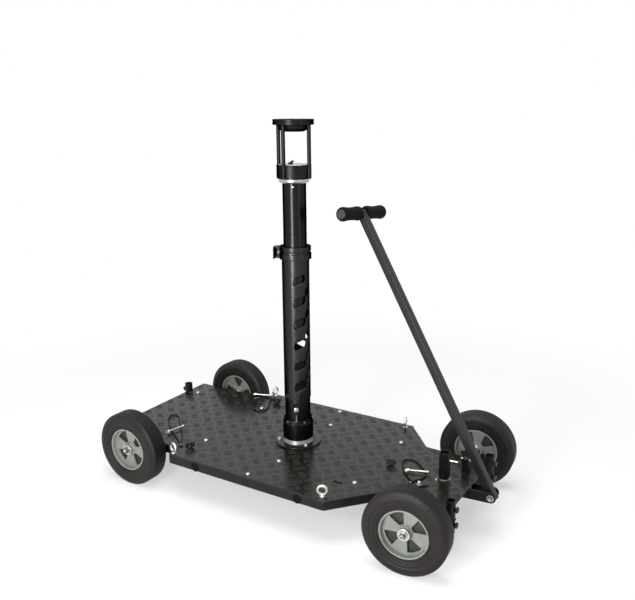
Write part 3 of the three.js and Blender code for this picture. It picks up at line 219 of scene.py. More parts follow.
extruded = dict(metallic=1, stretch=(1, 1, 0.04))
lathed = dict(metallic=1, stretch=(0.15, 0.15, 3))
finishes = dict(
    # Powder coated aluminium tread plate: near black, but it mirrors the white room at a low angle and looks grey
    tread=makeFinish("powderCoatedTreadPlate", "#171512", "#1d1b18", 55, 0.22, 0.03, 3, 0.006, specular=0.31),
    # Pressed bars, rubbed a little duller than the ground between them, and painted darker than it: painted shade for
    # the shadows along the bars
    bars=makeFinish("pressedBarPaintedShade", "#12100d", "#171511", 30, 0.38, 0.04, 1.6, 0.01, specular=0.22),
    # Powder coat on welded steel: black with a faint orange peel
    powder=makeFinish("blackPowderCoat", "#0d0d0d", "#111111", 40, 0.42, 0.05, 2.4, 0.06, specular=0.22),
    # Black anodised aluminium: satin metal whose dye keeps every reflection dark, with faint lengthwise lines
    anodised=makeFinish("blackAnodisedTube", "#323232", "#383838", 26, 0.3, 0.03, 1.8, 0.003, edge="#3c3c3c",
                        **extruded),
    # The sliding column, polished darker by its bushes
    column=makeFinish("polishedBlackColumn", "#262626", "#2a2a2a", 26, 0.23, 0.01, 1.8, 0.001, edge="#484848",
                      **extruded),
    # The same dye on the turned collars and the head: duller and a shade darker than the tube
    darkCollar=makeFinish("darkAnodisedCollar", "#242424", "#292929", 26, 0.36, 0.03, 1.8, 0.003, 1, edge="#303030"),
    # Bright turned aluminium: fine tool rings
    bright=makeFinish("turnedAluminium", "#b3b0ab", "#a7a4a0", 30, 0.36, 0.03, 1.2, 0.012, **lathed),
    # The same, painted darker as painted shade under the base collar, its darker edge tint a painted shade at the
    # sides: dull at the sides, one bright band in front
    brightInPaintedShade=makeFinish("baseRingPaintedShade", "#787774", "#807f7b", 30, 0.4, 0.03, 1.2, 0.012, edge="#5a5956",
                          **lathed),
    # Darker steel of nuts and bushes, which sets them off from their washers
    darkSteel=makeFinish("oiledSteelNuts", "#6b6a67", "#595855", 8, 0.34, 0.05, 1.2, 0.03, 1),
    # Zinc plated steel: cool grey, a little blotchy
    zinc=makeFinish("zincPlate", "#cfcdc5", "#b5b2aa", 9, 0.31, 0.08, 1.4, 0.04, 1),
    # Dark grey paint on square steel tube: satin, faint orange peel
    handle=makeFinish("darkGreyPaint", "#151615", "#1a1b1a", 45, 0.4, 0.05, 2, 0.03, specular=0.34),
    # Solid rubber: charcoal brown, dusty, open moulded skin
    rubber=makeFinish("mouldedSolidRubber", "#0f0b09", "#181310", 34, 0.5, 0.06, 1.6, 0.14, ior=1.52, specular=0.27),
    # Tread of the tyre: the same rubber, dusted dull by rolling, and painted darker as painted shade for the tread
    # that turns from the lamps
    treadInPaintedShade=makeFinish("treadRubberPaintedShade", "#080605", "#0f0c0a", 34, 0.6, 0.06, 1.6, 0.14, ior=1.52,
                           specular=0.2),
    # Grey paint on pressed steel rims
    rim=makeFinish("greyRimPaint", "#777a76", "#81847f", 22, 0.42, 0.06, 1.8, 0.06),
    # The rolled edge of the rims, a little glossier, and painted lighter than the rim as a painted highlight
    rimEdge=makeFinish("rimEdgePaintedHighlight", "#7c7f7a", "#8a8c87", 12, 0.3, 0.06, 1.4, 0.04),
    # Dark grey green inside the rims: painted shade, where little light comes
    rimInside=makeFinish("rimInsidePaintedShade", "#242724", "#2c2f2c", 16, 0.6, 0.06, 1.8, 0.06),
    # Closed cell foam: dull black with fine cells, drawn at 1.5 mm so that they show
    foam=makeFinish("closedCellFoam", "#0b0b0b", "#0f0f10", 12, 0.84, 0.05, 1.5, 0.1, cells=True, specular=0.12),
    # Grey plastic end ring of the grips
    endRing=makeFinish("greyPlasticEnd", "#232423", "#2b2d2b", 12, 0.5, 0.05, 1, 0.05),
    # Glass filled nylon knobs: black, fine grained
    plastic=makeFinish("mouldedBlackNylon", "#0f0f10", "#151516", 9, 0.4, 0.06, 1, 0.05, ior=1.53, specular=0.35),
    # Matt black plastic down in the receivers, which reads as a hole: painted shade for the hole; also the pin's
    # pocket and the painted-shade sheet inside the mast tube
    plug=makeFinish("mattBlackPlugAndPaintedShade", "#060606", "#090909", 9, 0.7, 0.05, 1, 0.05, specular=0.1),
    # Plastic cover on a wire rope: smooth black
    cover=makeFinish("plasticCoatedWire", "#070708", "#0b0b0c", 6, 0.5, 0.05, 1.2, 0.03, ior=1.53, specular=0.08),
)
print("finishes", len(finishes))

# ---- shaping helpers, all in millimetres
bm = bmesh.new()  # holds what is drawn until the next piece takes it up


def at(x=0.0, y=0.0, z=0.0):
    return Matrix.Translation((x, y, z))


def turned(degrees, axis="Z"):
    return Matrix.Rotation(radians(degrees), 4, axis)


upright = turned(90, "X")
# each carries +Z onto the named axis
turnTo = {"+x": turned(90, "Y"), "-x": turned(-90, "Y"), "+y": turned(-90, "X"), "-y": upright}


def radial(angle, z):
    # carries +Z outward from the mast at that angle and height
    return turned(angle) @ at(z=z) @ turnTo["+x"]


def polar(radius, angle):
    return radius * cos(angle), radius * sin(angle)


def mirrored(profile):
    return [(radius, -height) for radius, height in reversed(profile)]


def rectangle(x, y):
    return [(-x, -y), (x, -y), (x, y), (-x, y)]


def soften(points, radius, closed=True, steps=3):
    # rounds each corner of an outline or profile
    out = []
    for i, corner in enumerate(points):
        here = Vector(corner)
        before, after = Vector(points[i - 1]) - here, Vector(points[(i + 1) % len(points)]) - here
        if (not closed and i in (0, len(points) - 1)) or min(before.length, after.length) < 1e-6 \
                or abs(before.normalized().dot(after.normalized())) > 0.997:
            out.append(tuple(here))
            continue
        start, end = (here + way.normalized() * min(radius, way.length * 0.42) for way in (before, after))
        for t in (k / steps for k in range(steps + 1)):
            out.append(tuple(start * (1 - t) ** 2 + here * 2 * t * (1 - t) + end * t * t))
    return out


def shifted(points, distance, closed=True):
    # moves every side of an outline to its left
    if not distance:
        return points
    out = []
    for i, corner in enumerate(points):
        here = Vector(corner)
        one = (here - Vector(points[i - 1])).normalized() if closed or i else None
        two = (Vector(points[(i + 1) % len(points)]) - here).normalized() if closed or i < len(points) - 1 else None
        one, two = one or two, two or one
        mean = Vector((-one.y, one.x)) + Vector((-two.y, two.x))
        out.append(tuple(here + mean * (2 * distance / mean.dot(mean))))
    return out


def ringVerts(points, height, turn=Matrix()):
    return [bm.verts.new(turn @ Vector((x, y, height))) for x, y in points]


def bridge(low, high, closed=True):
    for i in range(len(low) if closed else len(low) - 1):
        j = (i + 1) % len(low)
        bm.faces.new((low[i], low[j], high[j], high[i]))


def disc(radius, steps=32, x=0.0, y=0.0):
    return [(x + radius * cos(2 * pi * i / steps), y + radius * sin(2 * pi * i / steps)) for i in range(steps)]


def hole(radius, steps, x=0.0, y=0.0):
    return disc(radius, steps, x, y)[::-1]


def arc(x, y, radius, start, end, steps=8):
    angles = [radians(start + (end - start) * k / steps) for k in range(steps + 1)]
    return [(x + radius * cos(a), y + radius * sin(a)) for a in angles]


def spin(profile, turn=Matrix(), steps=48):
    # turns a profile of (radius, height) about the axis
    rings = [ringVerts(disc(radius, steps) if radius > 1e-6 else [(0, 0)], height, turn) for radius, height in profile]
    pairs = list(zip(rings, rings[1:]))
    if len(rings[0]) > 1 and len(rings[-1]) > 1:
        pairs.append((rings[-1], rings[0]))
    for low, high in pairs:
        for i in range(steps):
            j = (i + 1) % steps
            corners = [low[i % len(low)], low[j % len(low)], high[j % len(high)], high[i % len(high)]]
            kept = list(dict.fromkeys(corners))
            if len(kept) > 2:
                bm.faces.new(kept)


def lathe(profile, edge, turn=Matrix(), steps=96):
    # the same with its corners rounded; what starts on the axis also ends there
    spin(soften(profile, edge, closed=profile[0][0] > 0), turn, steps)


def rod(radius, low, high, turn=Matrix(), edge=0.6, steps=32):
    lathe([(0, low), (radius, low), (radius, high), (0, high)], edge, turn, steps)


def ring(outer, inner, low, high, turn=Matrix(), edge=0.6, steps=48):
    lathe([(inner, low), (outer, low), (outer, high), (inner, high)], edge, turn, steps)


def wireRing(radius, wire, turn=Matrix(), steps=40, around=14):
    spin([(radius + x, y) for x, y in disc(wire, around)], turn, steps)


def plate(outlines, low, high, edge=0.0, turn=Matrix()):
    # a flat piece: the first outline runs anticlockwise, its holes clockwise
    levels = [(edge, low), (0, low + edge), (0, high - edge), (edge, high)] if edge else [(0, low), (0, high)]
    stacks = [[ringVerts(shifted(outline, inset), height, turn) for inset, height in levels] for outline in outlines]
    for rings in stacks:
        for one, two in zip(rings, rings[1:]):
            bridge(one, two)
    for level in (0, -1):
        loops = [rings[level] for rings in stacks]
        if len(loops) == 1:
            bm.faces.new(loops[0])
            continue
        flat = [vert for loop in loops for vert in loop]
        flatLoops = [[Vector((x, y, 0)) for x, y in shifted(outline, edge)] for outline in outlines]
        for corners in tessellate_polygon(flatLoops):
            bm.faces.new([flat[i] for i in corners])


def sweep(path, section):
    # carries a section of (distance to the left, height) along an open flat path
    loops = [ringVerts(shifted(path, side, False), height) for side, height in section]
    for one, two in zip(loops, loops[1:] + loops[:1]):
        bridge(one, two, False)
    bm.faces.new([loop[0] for loop in loops])
    bm.faces.new([loop[-1] for loop in reversed(loops)])


def block(one, other, turn=Matrix(), edge=0.8):
    # a box between two opposite corners, its edges broken
    low, high = (Vector([pick(pair) for pair in zip(one, other)]) for pick in (min, max))
    size = high - low
    made = bmesh.ops.create_cube(bm, size=1, matrix=turn @ at(*(low + high) / 2) @ Matrix.Diagonal((*size, 1)))
    edges = list({e for v in made["verts"] for e in v.link_edges})
    bmesh.ops.bevel(bm, geom=edges, offset=min(edge, min(size) * 0.3), offset_type="OFFSET", segments=2, profile=0.6,
                    affect="EDGES", clamp_overlap=True)


def nut(radius, low, high, turn=Matrix(), bolt=0.0):
    # hexagon with its corners turned off at both faces, and the end of its bolt where one shows
    plate([soften(disc(radius, 6), radius * 0.08, steps=1)], low, high, min(0.9, (high - low) * 0.2), turn)
    if bolt:
        rod(bolt, high - 0.5, high + 1.6, turn, 0.4, 20)


def steered(x, y):
    # the photograph shows the nose turned a little
    return at(x, y) @ turned(nose["rest"]) @ at(-x, -y)


def takeUp(name, matrix):
    # what is drawn becomes a mesh with its normals outward
    bmesh.ops.remove_doubles(bm, verts=bm.verts, dist=0.002)
    bmesh.ops.recalc_face_normals(bm, faces=bm.faces)
    bm.transform(matrix)
    mesh = bpy.data.meshes.new(name)
    bm.to_mesh(mesh)
    bm.clear()
    return mesh


def shown(mesh, name, body, finish, stands=(), smooth=34):
    mesh.materials.clear()
    mesh.materials.append(finishes[finish])
    mesh.polygons.foreach_set("use_smooth", [True] * len(mesh.polygons))
    mesh.set_sharp_from_angle(angle=radians(smooth))
    made = linked(name, mesh)
    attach(made, body)
    if stands:
        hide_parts(*stands)
    return made


def piece(name, body, finish, stands=(), smooth=34):
    return shown(takeUp(name, toFrame), name, body, finish, stands, smooth)


def secondFinish(made, finish, axis, most):
    # for the faces that turn away from the axis
    made.data.materials.append(finishes[finish])
    for face in made.data.polygons:
        if abs(face.normal.dot(axis)) < most:
            face.material_index = 1


# ---- loops of coated wire that hold the lock pins
cords = dict(radius=2.1, height=151.0, perSpan=6)
cordRoutes = dict(
    cord_tail_near=[
        (-332.7, -242.7), (-336.2, -239.2), (-347, -230), (-367, -215), (-393, -200), (-420, -183), (-451, -162),
        (-482, -136), (-508, -111), (-529.3, -81.2), (-531.2, -70.1), (-525.6, -60.4), (-515, -56.5),
        (-504.4, -60.4), (-490, -73), (-465, -98), (-432, -129), (-400, -160), (-370, -191), (-345, -220),
        (-332.8, -235.8), (-329.3, -239.3)],
    cord_tail_far=[
        (-288.2, 263.9), (-291.4, 261.5), (-294.5, 254), (-291, 240), (-284, 224), (-275, 208), (-264, 190),
        (-256, 168), (-254, 148), (-264, 134), (-283, 131), (-302, 140), (-318, 163), (-330, 190), (-340, 212),
        (-344, 232), (-338, 250), (-322, 260), (-306, 262), (-299, 263), (-294.2, 265.3), (-291, 267.7)],
    cord_nose=[
        (469.6, -78), (469.6, -74.5), (466, -68), (452, -57), (433, -39), (415, -15), (399, 11), (391, 34),
        (393, 50), (404, 60), (420, 59), (445, 42), (466, 21), (483, 6), (493, -10), (495, -28), (489, -47),
        (478, -64), (474.4, -74.5), (474.4, -78)])


def smoothRoute(points):
    # centripetal spline through the route's points
    pts = [Vector(p) for p in points]
    out = []
    for i in range(len(pts) - 1):
        p1, p2 = pts[i], pts[i + 1]
        p0 = pts[i - 1] if i else 2 * p1 - p2
        p3 = pts[i + 2] if i + 2 < len(pts) else 2 * p2 - p1
        d0, d1, d2 = (sqrt((b - a).length) for a, b in ((p0, p1), (p1, p2), (p2, p3)))
        t1 = ((p1 - p0) / d0 - (p2 - p0) / (d0 + d1) + (p2 - p1) / d1) * d1
        t2 = ((p2 - p1) / d1 - (p3 - p1) / (d1 + d2) + (p3 - p2) / d2) * d1
        for t in (k / cords["perSpan"] for k in range(cords["perSpan"])):
            out.append(p1 + t1 * t + (-3 * p1 + 3 * p2 - 2 * t1 - t2) * t * t + (2 * p1 - 2 * p2 + t1 + t2) * t ** 3)
    return out + [pts[-1]]


for node, points in cordRoutes.items():
    route = [toFrame @ Vector((p.x, p.y, cords["height"])) for p in smoothRoute(points)]
    curve = bpy.data.curves.new(node + "_loop", "CURVE")
    curve.dimensions = "3D"
    spline = curve.splines.new("POLY")
    spline.points.add(len(route) - 1)
    for point, place in zip(spline.points, route):
        point.co = (*place, 1)
    curve.bevel_depth = cords["radius"] / 1000
    curve.bevel_resolution = 3
    curve.use_fill_caps = True
    curve.materials.append(finishes["cover"])
    loop = linked(node + "_loop", curve)
    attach(loop, "deck")
    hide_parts(node)


# ---- deck: one folded tread plate with skirts along its sides
deck = dict(top=148.0, thick=3.8, skirt=31.5, wall=3.5, fold=5.0, insideFold=1.4, lip=5.5, broken=0.8,
            tail=651, nose=639, bodyHalf=316, bodyTail=317, bodyNose=295, tailHalf=262.5, tailCut=350,
            noseHalf=182, noseCut=410, corner=7, socketY=166.5, notch=15.6,
            slotX=274, slotY=-192, slotLong=34, slotWide=15, holeX=66, holeY=63, hole=4.2)
tread = dict(cellX=60.2, cellY=60.5, startX=209, startY=35.8, pairX=30, pairY=30.3, pitch=7.9, bars=5,
             long=30, wide=3.9, tall=0.8, sunk=0.25, topShare=0.6, bluntness=0.4, margin=1.5,
             slotMargin=3, samples=30, shortest=6)


def deckSide(sign):
    # one side from end to end, with its folded corners rounded
    d = deck
    near = [(-d["tail"], -d["tailHalf"] + d["corner"]), (-d["tail"], -d["tailHalf"]), (-d["tailCut"], -d["tailHalf"]),
            (-d["bodyTail"], -d["bodyHalf"]), (d["bodyNose"], -d["bodyHalf"]), (d["noseCut"], -d["noseHalf"]),
            (d["nose"], -d["noseHalf"]), (d["nose"], -d["noseHalf"] + d["corner"])]
    path = soften(near, d["corner"] * 0.98, closed=False, steps=5)
    return path if sign < 0 else [(x, -y) for x, y in reversed(path)]


def endNotches(x, start):
    # socket cut-outs along an end edge, walked in the outline's direction
    inward = 180 if x > 0 else 0
    return [point for y in (start * deck["socketY"], -start * deck["socketY"])
            for point in arc(x, y, deck["notch"], inward + 90 * start, inward - 90 * start, 12)]


def makeDeck():
    d = deck
    under, low, fold, inner = d["top"] - d["thick"], d["top"] - d["skirt"], d["fold"], d["insideFold"]
    section = [(d["lip"], d["top"])]
    section += [(fold - fold * sin(radians(a)), d["top"] - fold + fold * cos(radians(a))) for a in range(0, 91, 15)]
    section += [(0, low + d["broken"]), (d["broken"], low), (d["wall"] - d["broken"], low),
                (d["wall"], low + d["broken"])]
    section += [(d["wall"] + inner - inner * cos(radians(a)), under - inner + inner * sin(radians(a)))
                for a in range(0, 91, 30)]
    section += [(d["lip"], under)]
    near, far = deckSide(-1), deckSide(1)
    for path in (near, far):
        sweep(path, section)
    nearIn, farIn = (shifted(path, d["lip"], closed=False) for path in (near, far))
    outline = [(-d["tail"], near[0][1]), *nearIn, (d["nose"], near[-1][1]), *endNotches(d["nose"], -1),
               (d["nose"], far[0][1]), *farIn, (-d["tail"], far[-1][1]), *endNotches(-d["tail"], 1)]
    slot = soften([(d["slotX"] + x * d["slotLong"] / 2, d["slotY"] + y * d["slotWide"] / 2)
                   for x, y in ((-1, -1), (-1, 1), (1, 1), (1, -1))], d["slotWide"] * 0.49, steps=6)
    holes = [hole(d["hole"], 16, x * d["holeX"], y * d["holeY"]) for x in (-1, 1) for y in (-1, 1)]
    plate([outline, slot, *holes], under, d["top"])
    made = piece("foldedDeck", "deck", "tread", ["deck_plate"], 30)
    # only the top is tread plate; the skirts are plain
    secondFinish(made, "powder", Vector((0, 0, 1)), 0.6)


def insideDeck(x, y, margin):
    # whether a point of the top is clear of its edges, the hand slot and the socket cut-outs
    d = deck
    start, stop, half = [("bodyTail", "tailCut", "tailHalf"), ("bodyNose", "noseCut", "noseHalf")][x > 0]
    start, stop, taper = d[start], d[stop], d[half] - d["bodyHalf"]
    share = min(max((abs(x) - start) / (stop - start), 0), 1)
    slant = hypot(1, taper / (stop - start)) if 0 < share < 1 else 1
    inSlot = abs(x - d["slotX"]) < d["slotLong"] / 2 + tread["slotMargin"] \
        and abs(y - d["slotY"]) < d["slotWide"] / 2 + tread["slotMargin"]
    inNotch = any(hypot(x - end, abs(y) - d["socketY"]) < d["notch"] + margin for end in (-d["tail"], d["nose"]))
    return margin - d["tail"] <= x <= d["nose"] - margin and not inSlot and not inNotch \
        and abs(y) <= d["bodyHalf"] + taper * share - margin * slant


def treadPoints():
    # centre, turn and length of every pressed bar, cut off at the deck's edges
    t = tread
    out = []
    for i, j, other in product(range(-16, 10), range(-8, 8), (0, 1)):
        centre = Vector((t["startX"] + i * t["cellX"] + other * t["pairX"],
                         t["startY"] + j * t["cellY"] + other * t["pairY"]))
        along = Vector((1, 1 - 2 * other)).normalized()
        across = Vector((along.y, -along.x)) * (1 - 2 * other)
        for k in range(t["bars"]):
            middle = centre + across * t["pitch"] * (k - (t["bars"] - 1) / 2)
            run, best = [], []
            for s in range(-t["samples"] // 2, t["samples"] // 2 + 1):
                p = middle + along * (t["long"] / t["samples"] * s)
                run = run + [s] if insideDeck(p.x, p.y, t["margin"]) else []
                best = run if len(run) > len(best) else best
            long = (len(best) - 1) * t["long"] / t["samples"]
            if long > t["shortest"]:
                middle += along * (t["long"] / t["samples"] * (best[0] + best[-1]) / 2)
                out.append((middle, atan2(along.y, along.x), long))
    return out


def treeWith(name, inputs):
    # a Geometry Nodes tree with one geometry in, one out and named inputs
    tree = bpy.data.node_groups.new(name, "GeometryNodeTree")
    for label, kind in [("Geometry", "Geometry"), *inputs]:
        tree.interface.new_socket(label, in_out="INPUT", socket_type="NodeSocket" + kind)
    tree.interface.new_socket("Geometry", in_out="OUTPUT", socket_type="NodeSocketGeometry")
    return tree, addNode(tree, "NodeGroupInput").outputs


def laidOut(tree, given, instance):
    # sets the instance on the points, turned and scaled by their attributes, and gives it its finish
    turn = addNode(tree, "GeometryNodeInputNamedAttribute", {"Name": "turn"}, data_type="FLOAT")
    size = addNode(tree, "GeometryNodeInputNamedAttribute", {"Name": "size"}, data_type="FLOAT_VECTOR")
    euler = addNode(tree, "ShaderNodeCombineXYZ", links={"Z": turn.outputs["Attribute"]})
    rotation = addNode(tree, "FunctionNodeEulerToRotation", links={"Euler": euler})
    placed = addNode(tree, "GeometryNodeInstanceOnPoints", links={"Points": given["Geometry"], "Instance": instance,
                     "Rotation": rotation, "Scale": size.outputs["Attribute"]})
    real = addNode(tree, "GeometryNodeRealizeInstances", links={0: placed})
    coated = addNode(tree, "GeometryNodeSetMaterial", links={"Geometry": real, "Material": given["Finish"]})
    addNode(tree, "NodeGroupOutput", links={"Geometry": coated})
    return tree


def treadTree():
    # one pressed bar: a blunt ellipse drawn in at its top
    tree, given = treeWith("pressedBars", [("Bar width", "Float"), ("Bar height", "Float"), ("Top share", "Float"),
                           ("Bluntness", "Float"), ("Finish", "Material")])
    half = maths(tree, "MULTIPLY", given["Bar width"], 0.5)
    shape = addNode(tree, "ShaderNodeCombineXYZ", {"X": 0.5, "Z": 1}, {"Y": half})
    ellipse = addNode(tree, "GeometryNodeMeshCircle", {"Vertices": 12, "Radius": 1}, fill_type="NGON")
    # blunt its ends: x becomes its own sign times a root of its size
    place = addNode(tree, "GeometryNodeInputPosition")
    split = addNode(tree, "ShaderNodeSeparateXYZ", links={0: place}).outputs
    root = maths(tree, "POWER", maths(tree, "ABSOLUTE", split["X"]), given["Bluntness"])
    root = maths(tree, "MULTIPLY", root, maths(tree, "SIGN", split["X"]))
    blunt = addNode(tree, "ShaderNodeCombineXYZ", links={"X": root, "Y": split["Y"]})
    ellipse = addNode(tree, "GeometryNodeSetPosition", links={"Geometry": ellipse, "Position": blunt})
    ellipse = addNode(tree, "GeometryNodeTransform", links={"Geometry": ellipse, "Scale": shape})
    raised = addNode(tree, "GeometryNodeExtrudeMesh",
                     links={"Mesh": ellipse, "Offset Scale": given["Bar height"]}).outputs
    drawn = addNode(tree, "GeometryNodeScaleElements",
                    links={"Geometry": raised["Mesh"], "Selection": raised["Top"], "Scale": given["Top share"]})
    floor = addNode(tree, "GeometryNodeFlipFaces", links={0: ellipse})
    both = addNode(tree, "GeometryNodeJoinGeometry")
    for half in (drawn, floor):
        tree.links.new(half.outputs[0], both.inputs[0])
    bar = addNode(tree, "GeometryNodeMergeByDistance", {"Distance": 1e-6}, {"Geometry": both})
    return laidOut(tree, given, bar)


def fastenerTree():
    # any small piece set on points
    tree, given = treeWith("fasteners", [("Shape", "Object"), ("Finish", "Material")])
    shape = addNode(tree, "GeometryNodeObjectInfo", links={"Object": given["Shape"]})
    return laidOut(tree, given, shape.outputs["Geometry"])


def baked(points, tree, values, name):
    # points are (place, turn, scale); runs the tree on them and keeps a plain mesh
    mesh = bpy.data.meshes.new(name + "Points")
    mesh.from_pydata([tuple(place) for place, _, _ in points], [], [])
    mesh.attributes.new("turn", "FLOAT", "POINT").data.foreach_set("value", [turn for _, turn, _ in points])
    sizes = [share for _, _, size in points for share in size]
    mesh.attributes.new("size", "FLOAT_VECTOR", "POINT").data.foreach_set("vector", sizes)
    holder = linked(name + "Points", mesh)
    modifier = holder.modifiers.new("repeat", "NODES")
    modifier.node_group = tree
    for socket in tree.interface.items_tree:
        if socket.in_out == "INPUT" and socket.name in values:
            modifier[socket.identifier] = values[socket.name]
    made = bpy.data.meshes.new_from_object(holder.evaluated_get(bpy.context.evaluated_depsgraph_get()))
    bpy.data.objects.remove(holder)
    bpy.data.meshes.remove(mesh)
    made.name = name
    return made


fasteners = fastenerTree()


def repeated(places, name, body, finish, smooth=34):
    # sets what is drawn on every one of the places (x, y, z, degrees)
    mesh = takeUp(name + "Shape", Matrix.Scale(0.001, 4))
    shape = linked(name + "Shape", mesh)
    points = [(toFrame @ Vector((x, y, z)), radians(turn), (1, 1, 1)) for x, y, z, turn in places]
    made = baked(points, fasteners, {"Shape": shape, "Finish": finishes[finish]}, name)
    bpy.data.objects.remove(shape)
    bpy.data.meshes.remove(mesh)
    return shown(made, name, body, finish, (), smooth)


makeDeck()
bars = [(toFrame @ Vector((*middle, deck["top"] - tread["sunk"])), turn, (long / 1000, 1, 1))
        for middle, turn, long in treadPoints()]
# the bars take the darker bars finish: painted shade
barMesh = baked(bars, treadTree(), {
    "Bar width": tread["wide"] / 1000, "Bar height": (tread["tall"] + tread["sunk"]) / 1000,
    "Top share": tread["topShare"], "Bluntness": tread["bluntness"], "Finish": finishes["bars"]}, "pressedTreadBars")
shown(barMesh, "pressedTreadBars", "deck", "bars", smooth=60)
print("deck with", len(bars), "bars")

# button heads with a hexagon socket
deckBolts = dict(places=[(-603, 166), (-281, 166), (32, 166), (319, 166), (-2, 291)], spun=17, profile=[
    (0, 1.89), (2.3, 1.89), (2.5, 4.116), (3.4, 4.2), (5.25, 3.612), (6.9, 2.1), (7.5, 0.5), (7.5, -0.4), (0, -0.4)])
spin(deckBolts["profile"], steps=24)
repeated([(x, sign * y, deck["top"], deckBolts["spun"] * i)
          for i, (x, y) in enumerate(deckBolts["places"]) for sign in (-1, 1)],
         "deckBoltHeads", "deck", "zinc", smooth=50)

# pressed sleeves that hold both ends of each loop, each under a rivet
crimps = dict(long=14, half=5.6, tall=5, rivet=(2.2, 4.5, 6.1))


def crimpPlaces():
    for (ax, ay), *_, (bx, by) in cordRoutes.values():
        yield at((ax + bx) / 2, (ay + by) / 2, deck["top"]) @ Matrix.Rotation(atan2(by - ay, bx - ax), 4, "Z")


for place in crimpPlaces():
    block((-crimps["half"], -crimps["long"] - gap, -0.5), (crimps["half"], -gap, crimps["tall"]), place, 1.6)
piece("loopCrimps", "deck", "powder")
for place in crimpPlaces():
    rod(*crimps["rivet"], place @ at(y=-crimps["long"] / 2), 0.9, 20)
piece("crimpRivets", "deck", "zinc")


# ---- frame under the deck, push bar sockets and skirt receivers
rails = dict(y=166, wide=19, tall=25, top=144.3, cross=23, saddle=78, saddleThick=10, inner=365, gate=75, middle=-2,
             tailHalf=258.7, noseHalf=178.2, bodyHalf=312.2)
sockets = dict(y=166.5, radius=15, wall=2.5, low=75, high=180, tail=-651, nose=639, tab=9, bead=1.8)
# each receiver has a dished plug pressed in, matt black as painted shade for the hole
receivers = dict(x=202, z=130.5, radius=13.8, wall=2.4, out=312, plug=[
    (0, 316.4), (12.6, 316.4), (13.4, 317.4), (14.4, 317.8), (15.3, 317.3), (15.5, 315.8), (0, 315.8)])


def makeFrame():
    r, s, v = rails, sockets, receivers
    low, top = r["top"] - r["tall"], r["top"]
    tailIn, noseIn = s["tail"] + s["radius"] + r["cross"], s["nose"] - s["radius"] - r["cross"]
    block((tailIn - r["cross"], -r["tailHalf"], low), (tailIn, r["tailHalf"], top))
    for side, axis in ((-1, "-y"), (1, "+y")):
        block((noseIn, side * r["gate"], low), (noseIn + r["cross"], side * r["noseHalf"], top))
        block((tailIn - gap, side * r["y"] - r["wide"] / 2, low), (noseIn + gap, side * r["y"] + r["wide"] / 2, top))
        block((r["middle"] - r["cross"] / 2, side * r["y"], low),
              (r["middle"] + r["cross"] / 2, side * r["bodyHalf"], top))
        for x in (-v["x"], v["x"]):
            ring(v["radius"], v["radius"] - v["wall"], r["y"], v["out"], at(x, 0, v["z"]) @ turnTo[axis])
        for x, back in ((s["tail"], 1), (s["nose"], -1)):
            block((x + back * (s["radius"] - 1), side * s["y"] - s["tab"], low),
                  (x + back * (s["radius"] + 2), side * s["y"] + s["tab"], top))
    block((r["inner"] - r["cross"] / 2, -r["y"], low), (r["inner"] + r["cross"] / 2, r["y"], top))
    block((-r["saddle"], -r["y"], top - r["saddleThick"]), (r["saddle"], r["y"], top))
    piece("weldedFrame", "deck", "powder", ["deck_frame"])

    for x, side in product((s["tail"], s["nose"]), (-1, 1)):
        ring(s["radius"], s["radius"] - s["wall"], s["low"], s["high"], at(x, side * s["y"]), 0.8)
        # weld bead where the tube meets the plate's end bar
        wireRing(s["radius"] + 0.4, s["bead"], at(x, side * s["y"], low), 40, 10)
    piece("pushBarSockets", "deck", "powder")
    # the plugs are matt black: painted shade for the holes
    for x, axis in product((-v["x"], v["x"]), ("+y", "-y")):
        spin(v["plug"], at(x, 0, v["z"]) @ turnTo[axis], 40)
    piece("receiverPlugs", "deck", "plug", smooth=50)


makeFrame()

# forged lifting eye: ring, neck that flares into a collar, and its shank
eyes = dict(ring=14.2, wire=4.5, up=20.35, shank=4, shankLow=119.3, collar=[
    (0, -2), (9, -2), (9, 1.6), (7.74, 2.4), (5.94, 3.6), (4.59, 5.5), (0, 6)], places=dict(
    tail_near=(-309, -300, -14), nose_near=(277, -290, 20), tail_far=(-309, 300, 84), nose_far=(277, 290, 108)))
for which, (x, y, spun) in eyes["places"].items():
    foot = at(x, y, deck["top"])
    wireRing(eyes["ring"], eyes["wire"], foot @ at(z=eyes["up"]) @ turned(spun) @ upright, 48, 16)
    spin(eyes["collar"], foot, 32)
    rod(eyes["shank"], eyes["shankLow"], deck["top"], at(x, y))
    piece("eye_ring_" + which, "deck", "zinc", ["eye_bolt_" + which], 50)
print("frame, sockets and eyes")

socketKnobs = dict(head=9.5, lobes=7, depth=0.07, under=17, top=24.1, screw=(3, 12.8, 21), low=103, high=153,
                   boss=[(0, 15.6), (4.94, 15.6), (4.75, 16.6), (5.89, 17.6), (0, 17.6)],
                   cap=[(0, 23.5), (5.225, 23.5), (4.275, 24.8), (0, 25)])


def makeSocketKnob(which, x, y, z, axis):
    k = socketKnobs
    turn = at(x, y, z) @ turnTo[axis]
    angles = [2 * pi * i / (k["lobes"] * 8) for i in range(k["lobes"] * 8)]
    lobes = [polar(k["head"] * (1 - k["depth"] + k["depth"] * cos(k["lobes"] * a)), a) for a in angles]
    plate([lobes], k["under"], k["top"], 1.3, turn)
    spin(k["boss"], turn, 32)
    spin(k["cap"], turn, 32)
    rod(*k["screw"], turn, 0.4, 20)
    piece("socket_knob_%s_lobed" % which, "screw_" + which, "plastic", ["socket_knob_" + which])


for side, sign in sides:
    makeSocketKnob("tail_" + side, sockets["tail"], sign * sockets["y"], socketKnobs["high"], "-x")
    for level in ("low", "high"):
        makeSocketKnob("nose_%s_%s" % (side, level), sockets["nose"], sign * sockets["y"], socketKnobs[level], "+x")

